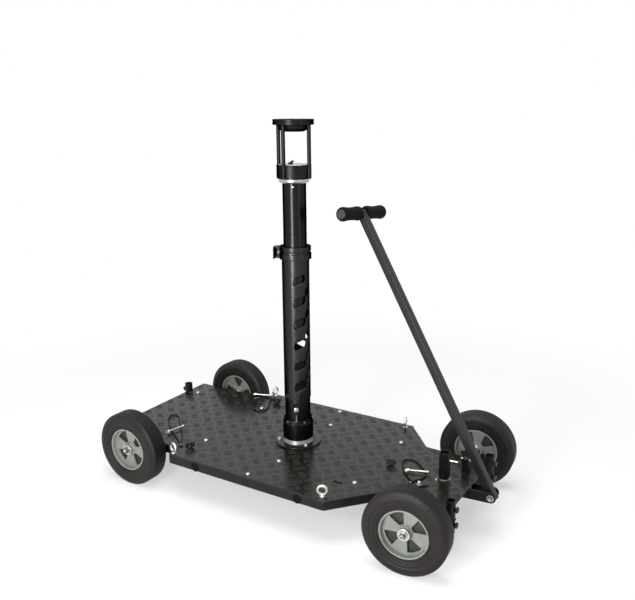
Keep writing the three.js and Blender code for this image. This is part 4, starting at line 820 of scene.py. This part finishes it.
# ---- wheels: a solid tyre with a flat tread, a bevelled shoulder and three moulded steps down to the rim
nose = dict(rest=5.25, x=557, kingY=227, track=302, post=549.5)
tail = dict(x=-492, track=307.5)
wheel = dict(
    radius=130, seat=73.8, washerAt=31.3, treadFacing=0.4, spun=(-5, 43, -16, 3),
    tyre=[(73.8, 26.2), (75.2, 27.8), (77, 28.3), (81.6, 28), (83, 29.6), (84.4, 30.2), (90, 30.4), (91.4, 32),
          (92.8, 32.7), (101, 32.9), (102.4, 34), (103.6, 34.4), (112, 34.2), (117.6, 33), (118.6, 31.8), (121, 31.2),
          (125.4, 29.2), (128, 27.4), (129.3, 25.6), (129.8, 23.6), (130, 20)],
    barrel=[(73.4, 25), (71.8, 27.6), (70.8, 26.4), (70.2, 22), (69.6, 15.6), (68.8, 13.4), (67.4, 12.6)],
    web=68.4, webIn=8, webOut=12.6, webBore=11, windowIn=24, windowOut=64.6, narrow=0.35, wide=0.41,
    hub=[(23.5, 11.6), (21.5, 14), (18.6, 18.1), (15, 18.1), (15, 11.6)],
    lip=[(74.6, 25), (75, 28.4), (74.2, 30.2), (71.2, 30.2), (70.2, 28.6), (71, 26)],
    partition=68, partitionBore=12, partitionHalf=3,
    bush=[(10.6, -30.4), (18.2, -30.4), (19, -29.4), (19, -27), (16, -25.8)])


def wheelPlace(end, sign):
    stand = turned(-90 * sign, "X")
    if end == "tail":
        return at(tail["x"], sign * tail["track"], wheel["radius"]) @ stand
    return steered(nose["x"], sign * nose["kingY"]) @ at(nose["x"], sign * nose["track"], wheel["radius"]) @ stand


def rimWindow(middle):
    w = wheel
    inner = [polar(w["windowIn"], middle + a) for a in (-w["narrow"], w["narrow"])]
    outside = [polar(w["windowOut"], middle + w["wide"] * (1 - k / 4)) for k in range(9)]
    return soften((inner + outside)[::-1], 1.6, steps=2)


def makeWheel(end, side, sign, spun):
    w = wheel
    which = "_%s_%s" % (end, side)
    body = "wheel" + which
    place = wheelPlace(end, sign) @ turned(spun)
    spin(w["tyre"] + [(w["radius"], 0)] + mirrored(w["tyre"]) + [(w["seat"], 0)], place, 112)
    tyre = piece("solidTyre" + which, body, "rubber", ["tyre" + which], 24)
    # the faces of the tread take the darker copy of the rubber: painted shade
    secondFinish(tyre, "treadInPaintedShade", place.to_3x3() @ Vector((0, 0, 1)), w["treadFacing"])
    # pressed rim: a barrel with a rolled lip, and a web with four windows on each side
    lathe(w["barrel"] + mirrored(w["barrel"]), 0.8, place, 96)
    for outer in (1, -1):
        start = 0 if outer == -sign else 45
        windows = [rimWindow(i * pi / 2 + pi / 4 + radians(start)) for i in range(4)]
        low, high = sorted((outer * w["webOut"], outer * w["webIn"]))
        plate([disc(w["web"], 96), *windows, hole(w["webBore"], 48)], low, high, 0.9, place)
        lathe([(r, outer * z) for r, z in w["hub"]], 0.8, place, 48)
    piece("pressedRim" + which, body, "rim", ["rim" + which])
    # the lip takes the lighter rim edge finish: painted highlight
    for outer in (-1, 1):
        lathe([(r, outer * z) for r, z in w["lip"]], 0.7, place, 96)
    piece("rolledRimEdge" + which, body, "rimEdge", smooth=50)
    # a solid disc across the rim's middle fills the view through its windows; its dark finish is painted shade
    plate([disc(w["partition"], 64), hole(w["partitionBore"], 32)], -w["partitionHalf"], w["partitionHalf"], 0, place)
    piece("rimPartition" + which, body, "rimInside")
    # bush with a flared, bright face
    lathe(w["bush"] + mirrored(w["bush"]), 0.6, place, 48)
    piece("wheelBush" + which, body, "zinc", smooth=40)


for (end, (side, sign)), spun in zip(product(("tail", "nose"), sides), wheel["spun"]):
    makeWheel(end, side, sign, spun)
print("wheels")

# ---- tail axle and the two arms that hold it
axle = dict(radius=10, washer=14, nut=11.4, stud=6, studEnd=[(0, 6), (6, 6), (6, 11.2), (5, 12.3), (0, 12.3)],
            armY=238, armHalf=12, armLow=108, armTail=-524, armNose=-236)


def makeAxle():
    a = axle
    end = tail["track"] + wheel["washerAt"]
    turns = [at(tail["x"], 0, wheel["radius"]) @ turnTo[axis] for axis in ("-y", "+y")]
    for turn in turns:
        rod(a["radius"], -1, end + 1, turn, 0.5, 40)
        ring(a["washer"], a["stud"], end, end + 1.6, turn, 0.5, 40)
        # stud end, chamfered
        spin([(r, end + z) for r, z in a["studEnd"]], turn, 28)
    piece("tailAxleRod", "deck", "zinc", ["tail_axle"], 40)
    for turn in turns:
        nut(a["nut"], end + 1.6, end + 6.6, turn)
    piece("tailAxleNuts", "deck", "darkSteel")
    for side, sign in sides:
        y = sign * a["armY"]
        block((a["armTail"], y - a["armHalf"], a["armLow"]), (a["armNose"], y + a["armHalf"], rails["top"]), edge=1.6)
        piece("axleArm_" + side, "deck", "powder", ["axle_arm_" + side])


makeAxle()

# ---- steering: beam, knuckles, tie rod, drawbar, post
steer = dict(beamHalf=15, beamLow=79.4, beamTop=109.4, hangHalf=9.5, hangTop=119, barrel=16, barrelTop=137.6,
             barrelLow=84, king=6, yoke=6, yokeHalf=16, yokeBack=12.8, arm=60, armHalf=11, stud=5, stub=9.9,
             stubWasher=12.6, stubNut=10.4, stubEnd=[(0, 6), (3.4, 6), (3.4, 12.4), (6.2, 12.4), (6.2, 5), (0, 5)],
             tieHalf=14, drawTop=143.9, drawLow=110, reach=153.5, cheekIn=18, cheekThick=6, hub=22, web=108,
             pivotZ=127, pivotBolt=5)
post = dict(half=15, wall=2.2, foot=151, top=240, washer=19.4, journal=14, pinZ=213, pin=(3.12, -18, 46),
            pinRing=(4.6, 2.4, 15.4, 17.6), pinKnob=[(0, 42), (6, 42), (6.2, 50.5), (4, 52), (0, 52)])


def makeBeam():
    s, x = steer, nose["x"]
    block((x - s["beamHalf"], -nose["kingY"], s["beamLow"]), (x + s["beamHalf"], nose["kingY"], s["beamTop"]), edge=2)
    for side in (-1, 1):
        ring(s["barrel"], s["king"] + 0.6, s["barrelLow"], s["barrelTop"], at(x, side * nose["kingY"]), 1)
        block((x - s["beamHalf"], side * rails["y"] - s["hangHalf"], s["beamLow"]),
              (x + s["beamHalf"], side * rails["y"] + s["hangHalf"], s["hangTop"]), edge=1)
    piece("noseBeam", "deck", "powder", ["steer_beam"])


def makeKnuckle(side, sign):
    s, x, y = steer, nose["x"], sign * nose["kingY"]
    body = "stub_" + side
    turn = steered(x, y) @ at(x, y) @ Matrix.Diagonal((1, sign, 1, 1))
    reach = s["barrel"] + 1.6 * s["yoke"]
    armLow, top = s["barrelLow"] - gap - s["yoke"], s["barrelTop"] + gap
    for back, low, high in ((-s["yokeBack"], top, top + s["yoke"]), (-s["yokeBack"], armLow, armLow + s["yoke"]),
                            (reach - s["yoke"], armLow, top + s["yoke"])):
        block((-s["yokeHalf"], back, low), (s["yokeHalf"], reach, high), turn, 1.4)
    outline = arc(-s["arm"], 0, s["armHalf"], 90, 270, 12) + [(0, -s["armHalf"]), (0, s["armHalf"])]
    plate([outline, hole(s["stud"] + 0.6, 24, -s["arm"])], armLow, armLow + s["yoke"], 0.8, turn)
    piece("knuckleYoke_" + side, body, "powder", ["knuckle_" + side])
    rod(s["king"], armLow - 0.6, top + 1.6 * s["yoke"], turn, 0.8, 24)
    nut(s["king"] * 1.7, top + s["yoke"], top + 1.9 * s["yoke"], turn)
    out = turn @ at(z=wheel["radius"]) @ turnTo["+y"]
    end = nose["track"] - nose["kingY"] + wheel["washerAt"]
    rod(s["stub"], reach - s["yoke"], end + 2, out, 0.5, 40)
    ring(s["stubWasher"], s["king"], end, end + 1.6, out, 0.5, 40)
    # hollow end of the stub, seen as a dark bore
    lathe([(r, end + z) for r, z in s["stubEnd"]], 0.6, out, 32)
    piece("stubAxle_" + side, body, "zinc", smooth=40)
    nut(s["stubNut"], end + 1.6, end + 6, out)
    rod(3.2, end + 5, end + 7.5, out, 0.2, 20)
    piece("stubNut_" + side, body, "darkSteel")


def makeTieRod():
    # it runs under the arms
    s, x = steer, nose["x"]
    turn = radians(nose["rest"])
    shift = at(-s["arm"] * cos(turn), -s["arm"] * sin(turn))
    top = s["barrelLow"] - 0.6 - s["yoke"]
    block((nose["post"] - s["tieHalf"], -nose["kingY"] - 10, top - s["yoke"]),
          (x + s["tieHalf"], nose["kingY"] + 10, top), shift, 1.2)
    for side in (-1, 1):
        end = shift @ at(x, side * nose["kingY"])
        rod(s["stud"], top - gap, s["barrelLow"] + s["yoke"], end, 0.5, 24)
        nut(s["stud"] * 1.6, s["barrelLow"] + gap, s["barrelLow"] + gap + s["yoke"] * 0.8, end)
    middle = shift @ at(nose["post"])
    rod(s["stud"] * 1.7, top - gap, s["drawLow"] - gap, middle, 0.8, 24)
    rod(s["stud"], s["drawLow"] - 1, s["drawLow"] + 12, middle, 0.8, 24)
    nut(s["stud"] * 1.6, s["drawLow"] + s["yoke"] + gap, s["drawLow"] + 11.4, middle)
    piece("tieRodBar", "track_rod", "zinc", ["tie_rod"])


def makeDrawbar():
    s = steer
    turn = steered(nose["post"], 0) @ at(nose["post"])
    middle, half, thick = (s["drawTop"] + s["drawLow"]) / 2, (s["drawTop"] - s["drawLow"]) / 2, s["cheekThick"]
    # cheeks: flat bars on edge with a round end, drilled for the pivot
    outline = [(0, -half), (s["reach"], -half)] + arc(s["reach"], 0, half, -90, 90, 16)[1:] + [(0, half)]
    for side in (-1, 1):
        stand = turn @ at(0, side * (s["cheekIn"] + thick / 2), middle) @ upright
        plate([outline, hole(s["pivotBolt"] + 0.5, 24, s["reach"])], -thick / 2, thick / 2, 0.9, stand)
    block((0, -s["cheekIn"] - gap, s["drawLow"]), (s["web"], s["cheekIn"] + gap, s["drawLow"] + thick), turn)
    ring(s["hub"], post["journal"] + 0.4, s["drawLow"], s["drawTop"], turn, 1)
    block((-s["arm"] - 13, -13, s["drawLow"]), (-s["hub"] + 2, 13, s["drawLow"] + s["yoke"]), turn, 1.4)
    piece("drawbarFork", "steering", "powder", ["drawbar"])

    p = post
    h, bore = p["half"], p["half"] - p["wall"]
    tube = [soften(rectangle(h, h), 3.4, steps=5), soften(rectangle(bore, bore), 1.8, steps=4)[::-1]]
    plate(tube, p["foot"], p["top"], 0.5, turn)
    plate([soften(rectangle(h - 1, h - 1), 2)], p["foot"], p["foot"] + 4, 0, turn)
    rod(p["journal"], s["drawLow"] + gap, p["foot"] + 1, turn, 0.6, 40)
    piece("steeringPost", "steering", "powder", ["steer_post"])
    ring(p["washer"], p["journal"] + 0.4, deck["top"] + 0.6, p["foot"] + gap, turn)
    piece("postWasher", "steering", "zinc")
    out = turn @ at(z=p["pinZ"]) @ turnTo["+x"]
    rod(*p["pin"], out, 0.8, 24)
    ring(*p["pinRing"], out, 0.5, 28)
    piece("postCrossPin", "post_cross_pin", "zinc", ["post_pin"])
    lathe(p["pinKnob"], 0.8, out, 28)
    piece("crossPinKnob", "post_cross_pin", "plastic")


makeBeam()
for side, sign in sides:
    makeKnuckle(side, sign)
makeTieRod()
makeDrawbar()
print("steering")

# ---- pull handle, its grips and the pivot bolt; the grip's profile is in shares of its radius
handle = dict(lean=30.4, sway=6, twist=8, barTilt=4, long=964.6, half=12.7, low=-15.113, crown=12.446, cross=11,
              crossHalf=106, gripStart=15, grip=22.6,
              gripProfile=[(0.8, 0), (0.9, 1.8), (0.97, 6), (1, 12), (0.975, 19), (0.925, 27), (0.9, 38), (0.895, 50),
                           (0.905, 62), (0.94, 72), (0.99, 81), (1, 86), (0.97, 91), (0.9, 94), (0.78, 95.4)],
              gripEnd=[(0, 93), (15.2, 93), (15, 96.4), (12.4, 97.2), (10.8, 95.6), (7, 95.4), (6.4, 96.4),
                       (0, 96.6)])


def makeHandle():
    h, s = handle, steer
    leant = steered(nose["post"], 0) @ at(nose["post"] + s["reach"], 0, s["pivotZ"]) @ turned(-h["lean"], "Y")
    # it hangs a little askew in its loose fork
    turn = leant @ turned(-h["sway"], "X") @ turned(-h["twist"])
    outline = soften(rectangle(h["half"], h["half"]), 3, steps=5)
    plate([outline], h["low"], h["long"] + h["cross"] * 0.4, 0.8, turn)
    # round crown over the cross bar
    rod(h["crown"], -h["half"], h["half"], turn @ at(z=h["long"]) @ turnTo["+y"], 1.2, 48)
    head = turn @ at(z=h["long"]) @ turned(-h["barTilt"], "X")
    rod(h["cross"], -h["crossHalf"], h["crossHalf"], head @ turnTo["+y"], 0.8, 40)
    piece("pullHandleTube", "pull_handle", "handle", ["handle"])

    profile = [(h["grip"] * share, z) for share, z in h["gripProfile"]]
    profile = [(h["cross"] + gap, 0), *profile, (h["cross"] + gap, profile[-1][1])]
    for side, axis in (("near", "-y"), ("far", "+y")):
        out = head @ turnTo[axis] @ at(z=h["gripStart"])
        lathe(profile, 1.6, out, 64)
        grip = piece("foamGrip_" + side, "pull_handle", "foam", ["grip_" + side], 50)
        # end ring and its plug
        lathe(h["gripEnd"], 0.7, out, 48)
        piece("gripEndRing_" + side, "pull_handle", "endRing", smooth=40)

    out = s["cheekIn"] + s["cheekThick"] + gap
    for axis in ("-y", "+y"):
        rod(s["pivotBolt"], -1, out + 10.4, leant @ turnTo[axis], 0.8, 24)
        ring(s["pivotBolt"] * 2.2, s["pivotBolt"], out, out + 2.2, leant @ turnTo[axis], 0.4, 40)
    piece("handlePivotBolt", "pull_handle", "zinc", ["pivot_bolt"])
    for axis in ("-y", "+y"):
        nut(s["pivotBolt"] * 1.7, out + 2.2, out + 8.8, leant @ turnTo[axis])
    piece("pivotNuts", "pull_handle", "darkSteel")


makeHandle()
print("pull handle")

# ---- mast, from the flange up; the bright ring is flared at its foot, so it catches the light as one broad band
mast = dict(
    flange=(80.5, 34, 148.4, 155.1), flangeTop=155.1, boltReach=65.5, boltAngles=(90, 214.5, 325.5),
    boltWasher=(7.4, 3.5, 0, 1.4), boltNut=(6, 1.2, 5.2), boltEnd=3.6,
    brightRing=[(34, 155.3), (57.5, 155.3), (56.9, 157.5), (51.9, 165.6), (50.5, 168), (34, 168.6)],
    baseCollar=[(43.8, 168.9), (52.4, 168.9), (52.4, 224.5), (51.614, 227), (49.78, 228.4), (48.732, 240),
                (43.8, 240)],
    pinAngle=-62, boss=(9, 46.112, 55), bossZ=226, plungerAt=49.5,
    plunger=[(0, 239), (5, 239), (5, 240.5), (4.4, 242), (2, 262.5), (1.3, 264), (0, 264.2)],
    screw=(3.6, 43.5, 50.68), screwAngles=(-102, -30, 42, 114, 186), screwZ=232.2, bush=(7, 3.6, 44, 46.4),
    bushAngle=-105, bushZ=326, pinZ=285, pinPocket=((-17, -11, 41.4), (9, 9, 44.4)), pinRing=(9.6, 6.4, 40, 45.2),
    pin=(6, 36, 50), pinHead=((-7.6, -7.6, 44.5), (7.6, 7.6, 58.6)),
    neck=[(37, 168.9), (43.5, 168.9), (43.5, 315.7), (41.2, 315.7), (41.2, 345), (37, 345)])


def makeMastBase():
    m = mast
    ring(*m["flange"], edge=0.9, steps=96)
    piece("mastFlange", "deck", "tread", ["mast_flange"])
    ring(*m["boltWasher"], edge=0.3, steps=28)
    nut(*m["boltNut"], bolt=m["boltEnd"])
    repeated([(*polar(m["boltReach"], radians(a)), m["flangeTop"], a) for a in m["boltAngles"]],
             "flangeBolts", "deck", "zinc")
    # the ring takes the darker copy of the bright finish: painted shade
    lathe(m["brightRing"], 0.8)
    piece("baseBrightRing", "deck", "brightInPaintedShade", ["base_ring"])
    lathe(m["baseCollar"], 1.0)
    rod(*m["boss"], radial(m["pinAngle"], m["bossZ"]), 1.2, 32)
    piece("baseCollar", "deck", "darkCollar", ["base_collar"])
    # cone plunger that stands on the boss
    lathe(m["plunger"], 0.7, at(*polar(m["plungerAt"], radians(m["pinAngle"]))), 28)
    piece("conePlunger", "deck", "darkSteel", smooth=40)
    for a in m["screwAngles"]:
        rod(*m["screw"], radial(a, m["screwZ"]), 0.6, 20)
    piece("collarScrews", "deck", "zinc", smooth=40)
    # bushed screw through the tube's foot
    ring(*m["bush"], radial(m["bushAngle"], m["bushZ"]), 0.5, 28)
    piece("tubeFootBush", "deck", "darkSteel")
    # pocket that the pull pin sits in
    out = radial(m["pinAngle"], m["pinZ"])
    block(*m["pinPocket"], out, 1)
    piece("pullPinPocket", "deck", "plug")
    lathe(m["neck"], 0.6)
    ring(*m["pinRing"], out, 0.6, 32)
    piece("mastNeck", "deck", "darkCollar", ["mast_neck"])
    rod(*m["pin"], out, 0.5, 28)
    block(*m["pinHead"], out, 1.6)
    piece("mastPullPin", "mast_lock_pin", "bright", ["mast_pin"])


slotted = dict(radius=45.5, bore=41.5, low=316.3, top=815, broken=0.5, pitch=73.6, first=365.3, high=25, rise=15,
               span=55, perRadian=57.3, roundShare=0.3, columns=(-41, 7, 55), stagger=0.45, rows=6, backSlot=99,
               backLower=17, across=90, up=62, clear=1.6, liner=(41.44, 41.26, 320, 478))


def slotOutline(angle, height, grow=0.0):
    # slanted slot with round ends, as (degrees, height) on the tube
    t = slotted
    half, high, share = t["span"] / 2 + grow / t["radius"] * t["perRadian"], t["high"] / 2 + grow, t["roundShare"]
    out = []
    for end, k in product((1, -1), range(11)):
        turn = (k / 10 - 0.5) * pi
        along = end * (1 - share + share * cos(turn))
        out.append((angle + along * half, height + end * high * sin(turn) + t["rise"] / 2 * along))
    return out


def insideLoop(point, outline):
    inside = False
    x, y = point
    for (x1, y1), (x2, y2) in zip(outline, outline[1:] + outline[:1]):
        if (y1 > y) != (y2 > y) and x < (x2 - x1) * (y - y1) / (y2 - y1) + x1:
            inside = not inside
    return inside


def slottedSheet(slots, radius, grow, flip):
    # one face of the wall, drawn flat as angle and height and wrapped round the axis;
    # gives the rims of its slots
    t = slotted
    outlines = [slotOutline(a, z, grow) for a, z in slots]
    # no grid points on a slot or close to it
    barred = [slotOutline(a, z, grow + t["clear"]) for a, z in slots]

    def onSlot(point, around):
        near = [outline for (a, z), outline in zip(slots, around)
                if abs(point.x - a) < t["span"] and abs(point.y - z) < t["high"] + t["rise"]]
        return any(insideLoop(point, outline) for outline in near)

    kept = []
    for j, i in product(range(t["up"] + 1), range(t["across"] + 1)):
        p = Vector((-180.0 + 360 * i / t["across"], t["low"] + (t["top"] - t["low"]) * j / t["up"]))
        if not onSlot(p, barred):
            kept.append(p)
    edges, loops = [], []
    for outline in outlines:
        loop = list(range(len(kept), len(kept) + len(outline)))
        kept += [Vector(p) for p in outline]
        edges += list(zip(loop, loop[1:] + loop[:1]))
        loops.append(loop)
    made, _, faces, origin, _, _ = delaunay_2d_cdt(kept, edges, [], 0, 1e-7)
    where = {source: index for index, sources in enumerate(origin) for source in sources}
    places = [bm.verts.new((*polar(radius, radians(p.x)), p.y)) for p in made]
    for face in faces:
        middle = sum((made[i] for i in face), Vector((0, 0))) / len(face)
        if not onSlot(middle, outlines):
            bm.faces.new([places[i] for i in (reversed(face) if flip else face)])
    return [[places[where[i]] for i in loop] for loop in loops]


def makeSlottedTube():
    t = slotted
    slots = [(angle, t["first"] + t["pitch"] * (k + t["stagger"] * (column % 2)))
             for column, angle in enumerate(t["columns"]) for k in range(t["rows"] - column % 2)]
    # one more at the back, through which the photograph shows the white room
    slots.append((t["backSlot"], t["first"] + t["pitch"] * 2 - t["backLower"]))
    outer = slottedSheet(slots, t["radius"], t["broken"], False)
    inner = slottedSheet(slots, t["bore"], 0.0, True)
    for rimOut, rimIn, (a, z) in zip(outer, inner, slots):
        # broken edge, then the wall of the slot
        edge = [bm.verts.new((*polar(t["radius"] - t["broken"], radians(x)), y)) for x, y in slotOutline(a, z)]
        bridge(rimOut, edge)
        bridge(edge, rimIn)
    bmesh.ops.remove_doubles(bm, verts=bm.verts, dist=0.002)
    for z in (t["low"], t["top"]):
        bridge(*(sorted([v for v in bm.verts if abs(v.co.z - z) < 1e-4 and abs(hypot(v.co.x, v.co.y) - r) < 0.01],
                        key=lambda v: atan2(v.co.y, v.co.x)) for r in (t["radius"], t["bore"])))
    piece("slottedMastTube", "deck", "anodised", ["mast_tube"], 40)
    # thin matt black sheet behind the lower slots, just clear of the column's bush: painted shade for the inside of
    # the tube
    ring(*t["liner"], edge=0.02, steps=96)
    piece("tubeWearLiner", "deck", "plug")


makeMastBase()
makeSlottedTube()
print("mast tube")

clamp = dict(
    angle=207, middle=821, lugHalf=19.8, splitHalf=1.2, lugIn=47.025, lugOut=69, lug=9,
    collar=[(45.8, 800), (53, 800), (53, 819), (49.5, 819.6), (49.5, 826.4), (51.8, 827), (51.8, 842), (38.8, 842),
            (38.8, 815.3), (45.8, 815.3)],
    screwAt=54.6, washer=(5.2, 2.6, 9, 10.2), screw=(3.4, 9, 13.4), grub=(3, 50, 54.2), grubAngle=-75, grubZ=822,
    pivotAt=66.6, pivot=(6.3, 803, 839),
    lever=[(63.1, -4), (70.1, -4), (70.1, 20), (68.8, 38.4), (65.2, 38.4), (63.1, 16)])


def makeClamp():
    c = clamp
    turn = turned(c["angle"])
    lathe(c["collar"], 0.9)
    for side in (-1, 1):
        block((c["lugIn"], side * c["splitHalf"], c["middle"] - c["lugHalf"]),
              (c["lugOut"], side * c["lug"], c["middle"] + c["lugHalf"]), turn, 1.2)
    piece("clampCollar", "deck", "anodised", ["clamp_collar"])
    across = turn @ at(c["screwAt"], 0, c["middle"]) @ turnTo["+y"]
    ring(*c["washer"], across, 0.3, 28)
    rod(*c["screw"], across, 0.8, 24)
    # small grub screw on the camera side of the band
    rod(*c["grub"], radial(c["grubAngle"], c["grubZ"]), 0.6, 20)
    piece("clampScrews", "deck", "darkSteel")
    rod(*c["pivot"], turn @ at(c["pivotAt"]), 1, 32)
    plate([soften(c["lever"], 1.6)], *c["pivot"][1:], 1.2, turn)
    piece("clampLever", "mast_lever", "anodised", ["clamp_lever"])


column = dict(
    tube=[(35, 550), (41.2, 550), (41.2, 566), (38.5, 566.6), (38.5, 1047), (35, 1047)],
    brightRing=[(35, 1047.3), (46, 1047.3), (49.2, 1051.2), (49.6, 1052), (49.6, 1059.6), (48.2, 1061), (35, 1061)],
    brightDisc=[(0, 1102.2), (50, 1102.2), (50, 1104), (48.8, 1105.2), (0, 1105.2)],
    drum=[(35, 1061.3), (56, 1061.3), (56, 1104), (50.4, 1104), (50.4, 1101.9), (35, 1101.9)],
    posts=(-90, 0, 180), postAt=58, post=(6.4, 1061.3, 1227.5),
    mouth=50, bowlNeck=30, bowlDeep=38, bowlWall=3.4, plateLow=1227, plateTop=1244,
    plate=[(52.4, 1244), (64.7, 1244), (65.5, 1243), (65.5, 1237.6), (64.2, 1237), (64.2, 1235.8), (65.5, 1235.2),
           (65.5, 1228), (64.5, 1227)],
    leverFoot=1105.5, leverBoss=[(0, 0), (7, 0), (7.6, 1), (7, 5.2), (0, 5.6)],
    leverFlag=[(0, 0), (8, 0.4), (15.4, 7), (15, 11.4), (11.6, 12.2), (-1, 4.6)],
    screwAngles=(-64, 56, 176), screwZ=1036,
    screw=[(0, 37.8), (3, 37.8), (3, 38.5), (2.8, 38.6), (1.5, 38.6), (1.4, 38.53), (0, 38.53)])


def makeColumn():
    c = column
    lathe(c["tube"], 0.5)
    piece("innerColumn", "column", "column", ["inner_tube"])
    lathe(c["brightRing"], 0.6)
    piece("headBrightRing", "column", "bright", ["head_ring"])
    lathe(c["brightDisc"], 0.5)
    piece("headBrightDisc", "column", "bright", ["head_disc"])
    lathe(c["drum"], 0.9)
    for a in c["posts"]:
        rod(*c["post"], turned(a) @ at(c["postAt"]), 0.8, 32)
    piece("headCage", "column", "darkCollar", ["head_cage"])
    bowl = [(c["bowlNeck"] + (c["mouth"] - c["bowlNeck"]) * sqrt(1 - (k / 10) ** 2),
             c["plateTop"] - c["bowlDeep"] * k / 10) for k in range(11)]
    under = [(r + c["bowlWall"], z) for r, z in bowl if z < c["plateLow"] - 0.5]
    spin(c["plate"] + [(under[0][0] + 2, c["plateLow"])] + under + bowl[::-1], steps=112)
    piece("bowlPlate", "column", "darkCollar", ["bowl_plate"])
    lathe(c["leverBoss"], 0.8, at(-8, -8, c["leverFoot"]), 32)
    plate([soften(c["leverFlag"], 1.8)], -2.6, 2.6, 0.8, at(-11, -8, c["leverFoot"]) @ upright)
    piece("headLever", "column_lever", "plastic", ["head_lever"])
    for a in c["screwAngles"]:
        spin(c["screw"], radial(a, c["screwZ"]), 24)
    piece("columnScrews", "column", "zinc", smooth=50)


makeClamp()
makeColumn()
print("column and head")

# ---- small fittings on the deck: knobs with two blunt wings, drawn in shares of their foot's radius
knobs = dict(foot=8.4, low=148.9, screw=4, screwLow=119.6,
             body=[(0, 0), (1, 0), (0.92, 0.9), (0.76, 1.4), (0.7, 2.7), (0, 2.85)],
             wing=[(0.3, 0.2), (1.6, 0.3), (1.95, 1.1), (1.95, 2.5), (1.2, 2.6), (0.3, 1.9)],
             places=dict(tail_knob_near=(-286, -243, 62, "wing_tail_near"),
                         tail_knob_far=(-256, 233, 10, "wing_tail_far"), nose_knob=(365, -4, 10, "wing_nose")))
barClamp = dict(place=(508, -99), turn=31, foot=[(0, 0), (1.1, 0), (1.1, 0.8), (0, 0.8)], low=0.65, high=1.5,
                bar=[(-3.5, -0.5), (-2.6, -0.6), (-0.9, -0.78), (0.9, -0.78), (2.6, -0.6), (3.5, -0.5)],
                washer=(7.6, 3.5, 161.08, 162.76), nut=(6.6, 162.34, 167.38),
                screwEnd=[(0, 2.1), (5.2, 2.1), (5.2, 2.45), (4, 2.82), (2, 2.96), (0, 3)])
latch = dict(place=(592, 76), half=11, tall=48, footX=13, footY=14, pin=4, pinHalf=18, pinZ=43)
# one set screw beside the post, left of its washer, and a low nut in front of it
setScrews = dict(place=(533, -24), screw=(3, -1, 7), nut=(4.6, 0.4, 4), front=(634, 0, 139.9), frontNut=(5.6, 0, 4.4))


def makeKnobs():
    k = knobs["foot"]
    low = knobs["low"]
    for node, (x, y, spun, body) in knobs["places"].items():
        turn = at(x, y) @ turned(spun)
        lathe([(k * r, low + k * z) for r, z in knobs["body"]], 1.2, turn, 32)
        for side in (0, 180):
            wing = soften([(k * x, low + k * z) for x, z in knobs["wing"]], 2.4)
            plate([wing], -k * 0.5, k * 0.5, 1.4, turn @ turned(side) @ upright)
        rod(knobs["screw"], knobs["screwLow"], low + 4, turn, 0.5, 24)
        piece(node + "_winged", body, "plastic", [node])

    b = barClamp
    turn = at(*b["place"]) @ turned(b["turn"])
    lathe([(k * r, low + k * z) for r, z in b["foot"]], 0.9, turn, 32)
    outline = [(k * x, k * y) for x, y in b["bar"]]
    plate([soften(outline + mirrored(outline), 2)], low + k * b["low"], low + k * b["high"], 1.4, turn)
    rod(knobs["screw"], knobs["screwLow"] - gap, low + 4, turn, 0.5, 24)
    piece("barClamp", "bar_clamp", "powder", ["steer_clamp"])
    ring(*b["washer"], turn, 0.2, 32)
    nut(*b["nut"], turn)
    spin([(r, low + k * z) for r, z in b["screwEnd"]], turn, 28)
    piece("barClampNut", "bar_clamp", "zinc", smooth=40)

    c = latch
    foot = at(*c["place"], deck["top"] + 0.4)
    plate([soften(rectangle(c["half"], c["half"]), 2.4)], 0, c["tall"], 1.2, foot)
    plate([soften(rectangle(c["footX"], c["footY"]), 3)], 0, 3, 0.8, foot)
    piece("latchBlock", "deck", "powder", ["latch_block"])
    rod(c["pin"], -c["pinHalf"], c["pinHalf"], foot @ at(z=c["pinZ"]) @ turnTo["+x"], 1, 24)
    piece("latchPin", "deck", "zinc")
    beside = at(*setScrews["place"], deck["top"])
    rod(*setScrews["screw"], beside, 0.8, 24)
    nut(*setScrews["nut"], beside)
    nut(*setScrews["frontNut"], at(*setScrews["front"]))
    piece("setScrews", "deck", "zinc")


makeKnobs()

# quick release pins: rod, shoulder with a split ring, and a ball tip
pins = dict(ringAt=-7.48, ring=6.6, wire=1.0, profile=[
    (0, -8.16), (5.1, -8.16), (5.78, -5.44), (5.78, 2.04), (4.08, 4.08), (3.4, 4.76), (3.4, 57.92), (4.25, 59.96),
    (4.25, 62.68), (2.38, 65.4), (0, 65.74)], places=dict(
    pin_tail_near=(-429.5, -190, 156.8, 79.4), pin_tail_far=(-375.3, 257.7, 154.68, 19),
    pin_nose=(437, -22, 156.8, 19.2)))
for node, (x, y, z, spun) in pins["places"].items():
    turn = at(x, y, z) @ turned(spun) @ turnTo["+x"]
    lathe(pins["profile"], 0.5, turn, 28)
    wireRing(pins["ring"], pins["wire"], turn @ at(z=pins["ringAt"]) @ turned(90, "Y"), 32, 8)
    piece(node + "_rod", "deck", "zinc", [node], 40)
print("small fittings")
